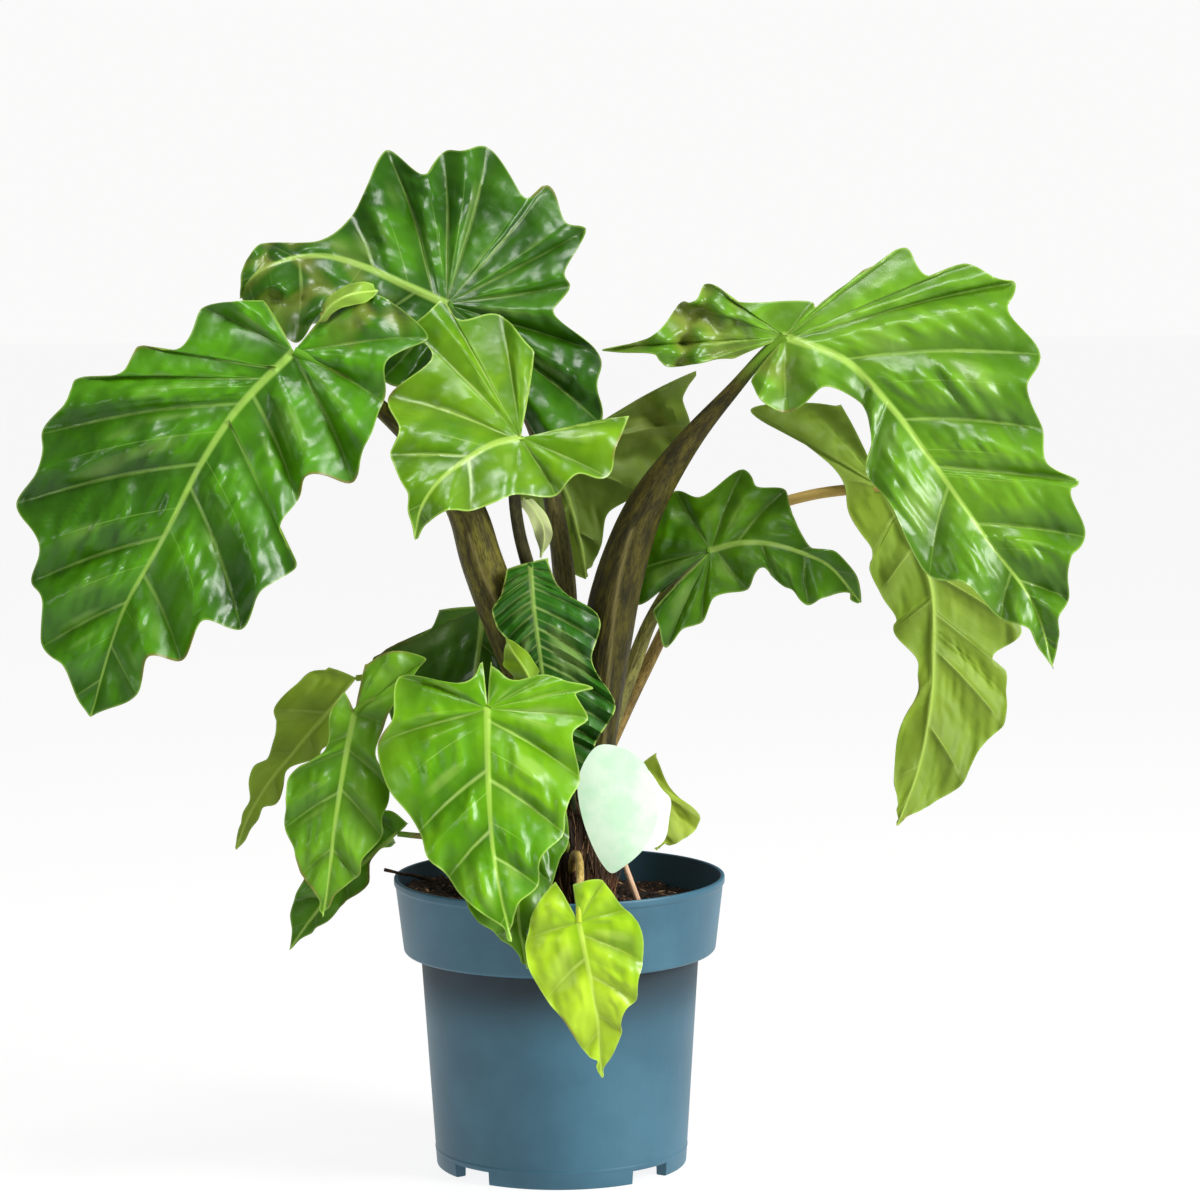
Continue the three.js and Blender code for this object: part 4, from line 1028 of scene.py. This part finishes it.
def blade_mesh(leaf, steps, rows):
    """The blade as a closed skin, with what its finish needs to know at each point."""
    rib_line = even_steps(curve_through(leaf["rib"], 24), rib_steps)
    shares = np.linspace(0, 1, rows + 1)[1:] ** row_crowding
    points, faces, margins = [rib_line], [], []
    found = {mark: [np.zeros(rib_steps + 1)]
             for mark in ("quilt", "olive", "swell", "streak", "vein")}
    for number, edge in enumerate((leaf["left"], leaf["right"]), 1):
        margin, root_step, grid, crest, to_vein = half_blade(
            leaf, rib_line, edge, number, steps, shares)
        margins.append(margin)
        start = sum(len(p) for p in points)
        columns = len(margin) - 1
        points.append(grid[:, :-1, :3].transpose(1, 0, 2).reshape(-1, 3))
        for layer, mark in enumerate(("olive", "swell", "streak"), 3):
            found[mark].append(grid[:, :-1, layer].T.ravel())
        found["quilt"].append(np.repeat(crest[:-1], rows))
        found["vein"].append(to_vein[:, :-1].T.ravel())
        half = half_faces(start + np.arange(rows * columns).reshape(columns, rows), root_step)
        laid = np.vstack(points)
        area = sum((laid[f[1], 0] - laid[f[0], 0]) * (laid[f[2], 1] - laid[f[0], 1])
                   - (laid[f[1], 1] - laid[f[0], 1]) * (laid[f[2], 0] - laid[f[0], 0])
                   for f in half)
        faces += [f[::-1] for f in half] if area < 0 else half

    laid = np.vstack(points)
    from_rib, rib_place = near_to(laid, rib_line)
    rims = [m[:, :2] for m in margins] + [
        rib_line[0, :2] + (m[0, :2] - rib_line[0, :2]) * np.linspace(0.12, 1, 30)[:, None]
        for m in margins]
    from_edge, _ = near_to(laid, np.vstack(rims))
    ahead = rib_place / rib_steps
    rib_half = leaf["rib_depth"] * (1 - 0.75 * ahead)
    rib_rise = leaf["rib_depth"] * (1 - ahead) * np.minimum(1, 0.3 + 8 * ahead)
    below = rib_rise * np.exp(-(from_rib / (0.75 * rib_half + 0.4)) ** 2)
    found = {mark: np.concatenate(parts) for mark, parts in found.items()}
    thin_out = np.clip(from_edge / 14, 0, 1) * np.clip(from_rib / 4, 0, 1)
    below = below + vein_depth * thin_out * np.exp(-(found["vein"] / vein_width) ** 2)
    above = rib_above * rib_rise * np.exp(-(from_rib / (0.5 * rib_half + 0.3)) ** 2)
    up_down = (above, below) if leaf["face"] == 1 else (below, above)
    space = seen(laid)
    shell, skin_faces = skinned(space, faces, up_down[0] + blade_half, up_down[1] + blade_half)
    on_back = np.arange(len(shell)) >= len(space)
    found["vein"] = found["vein"] / (0.4 + 0.6 * np.clip(from_edge / 40, 0, 1))
    found["rib"] = from_rib / (0.75 * rib_half + 0.6)
    found["edge"] = from_edge
    marks = {mark: np.tile(values, 2) for mark, values in found.items()}
    marks["under"] = (on_back if leaf["face"] == 1 else ~on_back).astype(float)
    return shell, skin_faces, marks


def skinned(middle, faces, front, back):
    """A closed skin round a sheet whose faces look at the viewer, as thick as front and back say."""
    normals = np.zeros_like(middle)
    for corners in (3, 4):
        group = np.array([f for f in faces if len(f) == corners])
        if len(group):
            cross = np.cross(middle[group[:, 1]] - middle[group[:, 0]],
                             middle[group[:, 2]] - middle[group[:, 0]])
            if corners == 4:
                cross = cross + np.cross(middle[group[:, 2]] - middle[group[:, 0]],
                                         middle[group[:, 3]] - middle[group[:, 0]])
            for corner in group.T:
                np.add.at(normals, corner, cross)
    normals /= np.maximum(np.linalg.norm(normals, axis=1), 1e-9)[:, None]
    shell = np.vstack([
        middle + normals * np.reshape(front, (-1, 1)), middle - normals * np.reshape(back, (-1, 1))])
    count = len(middle)
    closed = list(faces) + [tuple(i + count for i in f[::-1]) for f in faces]
    open_edges = {}
    for f in faces:
        for a, b in zip(f, f[1:] + f[:1]):
            if (b, a) in open_edges:
                del open_edges[(b, a)]
            else:
                open_edges[(a, b)] = True
    closed += [(b, a, a + count, b + count) for a, b in open_edges]
    return shell, closed


def blade_piece(leaf, name, steps, rows, vein_show):
    shell, skin_faces, marks = blade_mesh(leaf, steps, rows)
    blade_skin = blade_finish(leaf["name"] + "_skin", leaf["colors"], vein_show)
    piece = place_mesh(name, shell, skin_faces, blade_skin, 55)
    keep(piece, **marks)
    return piece


# A stalk is fleshy and finely ridged, olive to brown with dark streaks. Its lower part is a sheath
# whose two thin margins wrap the next stalk, and it turns green where it meets the blade.
def stalk_finish(name, colors, top_color, top_start):
    skin = Finish(name, IOR=1.3)
    unrolled, share, margin = skin.own("skin", "Vector"), skin.own("along"), skin.own("margin")
    streaks = skin.noise(skin.stretched(unrolled, (1100, 1100, 200)), 1, 4, 0.65)
    mottle = skin.noise(skin.stretched(unrolled, (170, 170, 45)), 1, 4, 0.6)
    lines = skin.noise(skin.stretched(unrolled, (1500, 1500, 12)), 1, 2)
    dark, light = (tint(code) for code in colors)
    color = skin.coat(dark, light, skin.ramp(mottle, 0.36, 0.66))
    color = skin.lit(color, 1 - skin.ramp(streaks, 0.47, 0.64) * 0.6)
    color = skin.coat(color, light, skin.ramp(lines, 0.56, 0.66) * 0.35)
    color = skin.coat(color, tint("8f8450"), margin * 0.55)
    color = skin.coat(color, tint(top_color), skin.ramp(share, top_start, 0.98) * 0.85)
    skin.set(
        Base_Color=color, Roughness=0.46 + mottle * 0.2,
        Normal=skin.bump(streaks * 0.5 + lines, 0.0006))
    return skin.material


sheath_turns = (0.9, 2.5)
sheath_twist = 1.6
sheath_height = 0.05
sheath_top = 0.6
sheath_width = 0.09
margin_top = 0.55
margin_width = 0.08
fleshy_width = 12


def from_sheath(angles, share):
    """How far each angle is turned from the nearer sheath margin."""
    return np.min([np.abs(np.angle(np.exp(1j * (angles + turn + sheath_twist * share))))
                   for turn in sheath_turns], axis=0)


def slim_shape(angles, share):
    return 1 + 0.012 * np.sin(11 * angles + 9 * share)


def fleshy_shape(angles, share):
    rise = sheath_height * min(1, max(0, (sheath_top - share) * 6))
    return slim_shape(angles, share) + rise * np.exp(-(from_sheath(angles, share) / sheath_width) ** 2)


for leaf in leaves:
    large = len(leaf["left"]) + len(leaf["right"]) > large_leaf_points
    steps, rows = (10, 48) if large else (8, 30)
    blade = blade_piece(leaf, leaf["name"] + "_blade", steps, rows, leaf.get("vein_show", 0.45))
    stand_for(blade, leaf["name"])

    fleshy = max(leaf["widths"]) > fleshy_width
    route = seen([*leaf["stalk"], leaf["rib"][0]])
    stalk_points, stalk_faces, skin, along = stalk_mesh(
        route, leaf["widths"], 64 if fleshy else 24, 10, fleshy_shape if fleshy else slim_shape)
    stalk_skin = stalk_finish(
        leaf["name"] + "_stalk_skin", leaf["stalk_colors"],
        leaf.get("stalk_top", leaf["colors"][1]), 0.5 if "stalk_top" in leaf else 0.86)
    stalk = place_mesh(leaf["name"] + "_stalk", stalk_points, stalk_faces, stalk_skin, 80)
    apart = from_sheath(np.arctan2(skin[:, 1], skin[:, 0]), along)
    margin = np.exp(-(apart / margin_width) ** 2) * (along < margin_top) * fleshy
    keep(stalk, skin=skin, along=along, margin=margin)
    stand_for(stalk, leaf["name"] + "_stem")


# Three small parts of leaf turn over: the left leaf's rear lobe rolls forward and shows its pale
# side, a young sheath opens beside the dark leaf, and a dry sheath margin curls off a stalk.
turned_parts = [
    {
        "name": "left_leaf_rolled_lobe", "slot": "leaf_lime", "face": 1, "turn": 0, "lean": 0,
        "droop": 0, "wave": 0.6, "quilt": 0.8, "rib_depth": 1, "colors": ("62861c", "86a83a"),
        "rib": [(-171, 611, -55), (-161, 624, -61), (-147, 632, -59), (-126, 635, -47)],
        "left": [(-168, 619, 4), (-159, 631, 9), (-144, 640, 12), (-131, 641, 8)],
        "right": [(-165, 613), (-155, 621), (-143, 625), (-131, 628)],
    },
    {
        "name": "young_sheath", "slot": "leaf_lime", "face": 1, "turn": 0, "lean": 0,
        "droop": 0, "wave": 0.6, "quilt": 0.6, "rib_depth": 1, "colors": ("6c9410", "8fb428"),
        "rib": [(-18, 350, -60), (-26, 365, -63), (-32, 374, -62), (-37, 384, -58)],
        "left": [(-32, 354, 3), (-38, 362, 4), (-40, 372, 3)],
        "right": [(-13, 360, 2), (-20, 371, 3), (-29, 380, 2)],
    },
    {
        "name": "curled_sheath_margin", "slot": "stem", "face": 1, "turn": 0, "lean": 0,
        "droop": 0, "wave": 0.6, "quilt": 0.4, "rib_depth": 0.8, "colors": ("8d9a5c", "b3bd86"),
        "rib": [(-25, 488, -44), (-15, 475, -34), (-9, 462, -28), (-11, 442, -20)],
        "left": [(-26, 480, 2), (-19, 468, 3), (-14, 455, 3)],
        "right": [(-18, 485, 4), (-8, 475, 5), (-3, 460, 4)],
    },
]
for part in turned_parts:
    piece = blade_piece(part, part["name"], 6, 10, 0.3)
    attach(piece, "root")


# The plant label is two stiff card sheets, mint green in front and white behind, on a thin wooden
# stick that stands in the soil.
label_thickness = 0.8
label_bow = 0.8
label_front_depth = -80
label_back_depth = -78.8
outline_steps = 8


def sheet_mesh(outline, depth):
    """A flat card of smooth outline, bowed a little round its upright middle line."""
    closed = [*outline[-2:], *outline, *outline[:3]]
    line = curve_through(closed, outline_steps)[2 * outline_steps:][:len(outline) * outline_steps]
    center = line.mean(axis=0)
    rings = np.linspace(0.08, 1, 14)
    flat = np.vstack([center, *[center + (line - center) * ring for ring in rings]])
    count = len(line)
    faces = [(0, 1 + i, 1 + (i + 1) % count) for i in range(count)]
    for ring in range(len(rings) - 1):
        low, high = 1 + ring * count, 1 + (ring + 1) * count
        for i in range(count):
            ahead = (i + 1) % count
            faces.append((low + i, high + i, high + ahead, low + ahead))
    a, b, c = flat[0], flat[1], flat[2]
    if (b[0] - a[0]) * (c[1] - a[1]) - (b[1] - a[1]) * (c[0] - a[0]) < 0:
        faces = [f[::-1] for f in faces]
    spread = np.abs(line[:, 0] - center[0]).max()
    half = label_thickness / 2
    away = depth + half + label_bow * ((flat[:, 0] - center[0]) / spread) ** 2
    return skinned(seen(np.column_stack([flat, away])), faces, half, half)


label_front = [(38, 306), (28, 305), (19, 294), (14, 279), (15, 262), (21, 240), (31, 219),
               (38, 212), (46, 216), (60, 228), (69, 243), (72, 261), (69, 276), (63, 291),
               (54, 300)]
label_back = [(40, 296), (62, 290), (75, 273), (81, 266), (80, 252), (77, 237), (71, 231),
              (58, 229), (42, 224), (30, 240), (27, 270)]


def card_finish(name, first, second):
    card = Finish(name, IOR=1.5, Coat_Weight=0.3, Coat_Roughness=0.25)
    washes = card.noise(card.place, 45, 4, 0.6)
    tooth = card.noise(card.place, 1500, 2)
    card.set(
        Base_Color=card.coat(tint(first), tint(second), card.ramp(washes, 0.35, 0.65)),
        Roughness=0.42 + tooth * 0.14, Normal=card.bump(tooth, 0.00005))
    return card.material


front_card = place_mesh(
    "label_front_card", *sheet_mesh(label_front, label_front_depth),
    card_finish("mint_card", "c9f1cb", "e2f8df"), 40)
stand_for(front_card, "label_front")
back_card = place_mesh(
    "label_back_card", *sheet_mesh(label_back, label_back_depth),
    card_finish("white_card", "eef0ee", "fafbfa"), 40)
stand_for(back_card, "label_back")

stick_low = np.array([71, -75.6, 164])
stick_high = np.array([28, -75.6, 285])
stick_width = 4.2
stick_wood = Finish("stick_wood", IOR=1.45)
wood_skin = stick_wood.own("skin", "Vector")
wood_lines = stick_wood.noise(stick_wood.stretched(wood_skin, (1600, 1600, 40)), 1, 3)
wood_damp = stick_wood.ramp(stick_wood.own("along"), 0.42, 0.2)
wood_color = stick_wood.coats(
    "b98f6c", ("dcbb9a", stick_wood.ramp(wood_lines, 0.35, 0.65)), ("8c6446", wood_damp * 0.6))
stick_wood.set(
    Base_Color=wood_color, Roughness=0.6 + wood_lines * 0.2,
    Normal=stick_wood.bump(wood_lines, 0.0003))
stick_line = np.linspace(stick_low, stick_high, 7)
stick_points, stick_faces, skin, along = stalk_mesh(
    stick_line, [stick_width * share for share in (0.9, 1, 1, 1, 1, 1, 0.9)], 24, 6)
stick = place_mesh("wooden_stick", stick_points, stick_faces, stick_wood.material, 60)
keep(stick, skin=skin, along=along)
stand_for(stick, "label_stick")


# The twig is a bit of dark, rough bark from the potting mix. It lies on the heaped soil and over
# the left of the rim.
twig_line = [(-92, 8, 205), (-104, 7.5, 209.5), (-116, 5, 212), (-127, 2, 215.5)]
twig_bark = Finish("twig_bark", IOR=1.4)
twig_rough = twig_bark.noise(twig_bark.place, 420, 4, 0.7)
twig_bark.set(
    Base_Color=twig_bark.coat(tint("1d130c"), tint("5a4129"), twig_bark.ramp(twig_rough, 0.4, 0.7)),
    Roughness=0.7 + twig_rough * 0.25, Normal=twig_bark.bump(twig_rough, 0.0008))
twig_points, twig_faces, skin, along = stalk_mesh(
    twig_line, [2.2, 2.6, 2.1, 2.7], 16, 8,
    lambda angles, share: 1 + 0.12 * np.sin(3 * angles + 17 * share))
twig = place_mesh("bark_twig", twig_points, twig_faces, twig_bark.material, 80)
stand_for(twig, "twig")


# The studio is a plain pale floor that runs out of sight, an even white surround, and soft
# lights: a large one from the upper right, a smaller one from the left and one from above.
floor_paint = Finish("floor_paint", Roughness=0.55, Emission_Strength=0.87)
floor_paint.set(
    Emission_Color=tint("ffffff"),
    Base_Color=floor_paint.coat(
        tint("686867"), tint("6c6c6b"), floor_paint.noise(floor_paint.place, 3)))
studio_floor = place_mesh(
    "studio_floor", [(-9000, -5000, 0), (9000, -5000, 0), (9000, 13000, 0), (-9000, 13000, 0)],
    [(0, 1, 2, 3)], floor_paint.material)


def soft_light(name, place, target, width, height, power):
    lamp = bpy.data.lights.new(name, "AREA")
    lamp.shape = "RECTANGLE"
    lamp.size = width
    lamp.size_y = height
    lamp.energy = power
    aimed = (Vector(target) - Vector(place)).to_track_quat("-Z", "Y").to_matrix().to_4x4()
    put(name, lamp).matrix_world = Matrix.Translation(place) @ aimed


soft_light("window_light", (2.0, -1.1, 1.4), (0.0, 0, 0.35), 0.7, 1.1, 80)
soft_light("side_light", (-1.6, -2.0, 1.5), (0, 0, 0.4), 0.5, 0.7, 10)
soft_light("ceiling_light", (0.1, -0.4, 2.3), (0, 0, 0.4), 0.8, 0.5, 26)
surround = bpy.data.worlds.new("white_surround")
surround.use_nodes = True
background = surround.node_tree.nodes["Background"]
background.inputs["Color"].default_value = (0.96, 0.96, 0.957, 1)
shown = surround.node_tree.nodes.new("ShaderNodeLightPath")
brightness = surround.node_tree.nodes.new("ShaderNodeMapRange")
brightness.inputs["To Min"].default_value = 0.23
brightness.inputs["To Max"].default_value = 1.0
surround.node_tree.links.new(shown.outputs["Is Camera Ray"], brightness.inputs["Value"])
surround.node_tree.links.new(brightness.outputs["Result"], background.inputs["Strength"])
bpy.context.scene.world = surround
bpy.context.scene.view_settings.view_transform = "Standard"
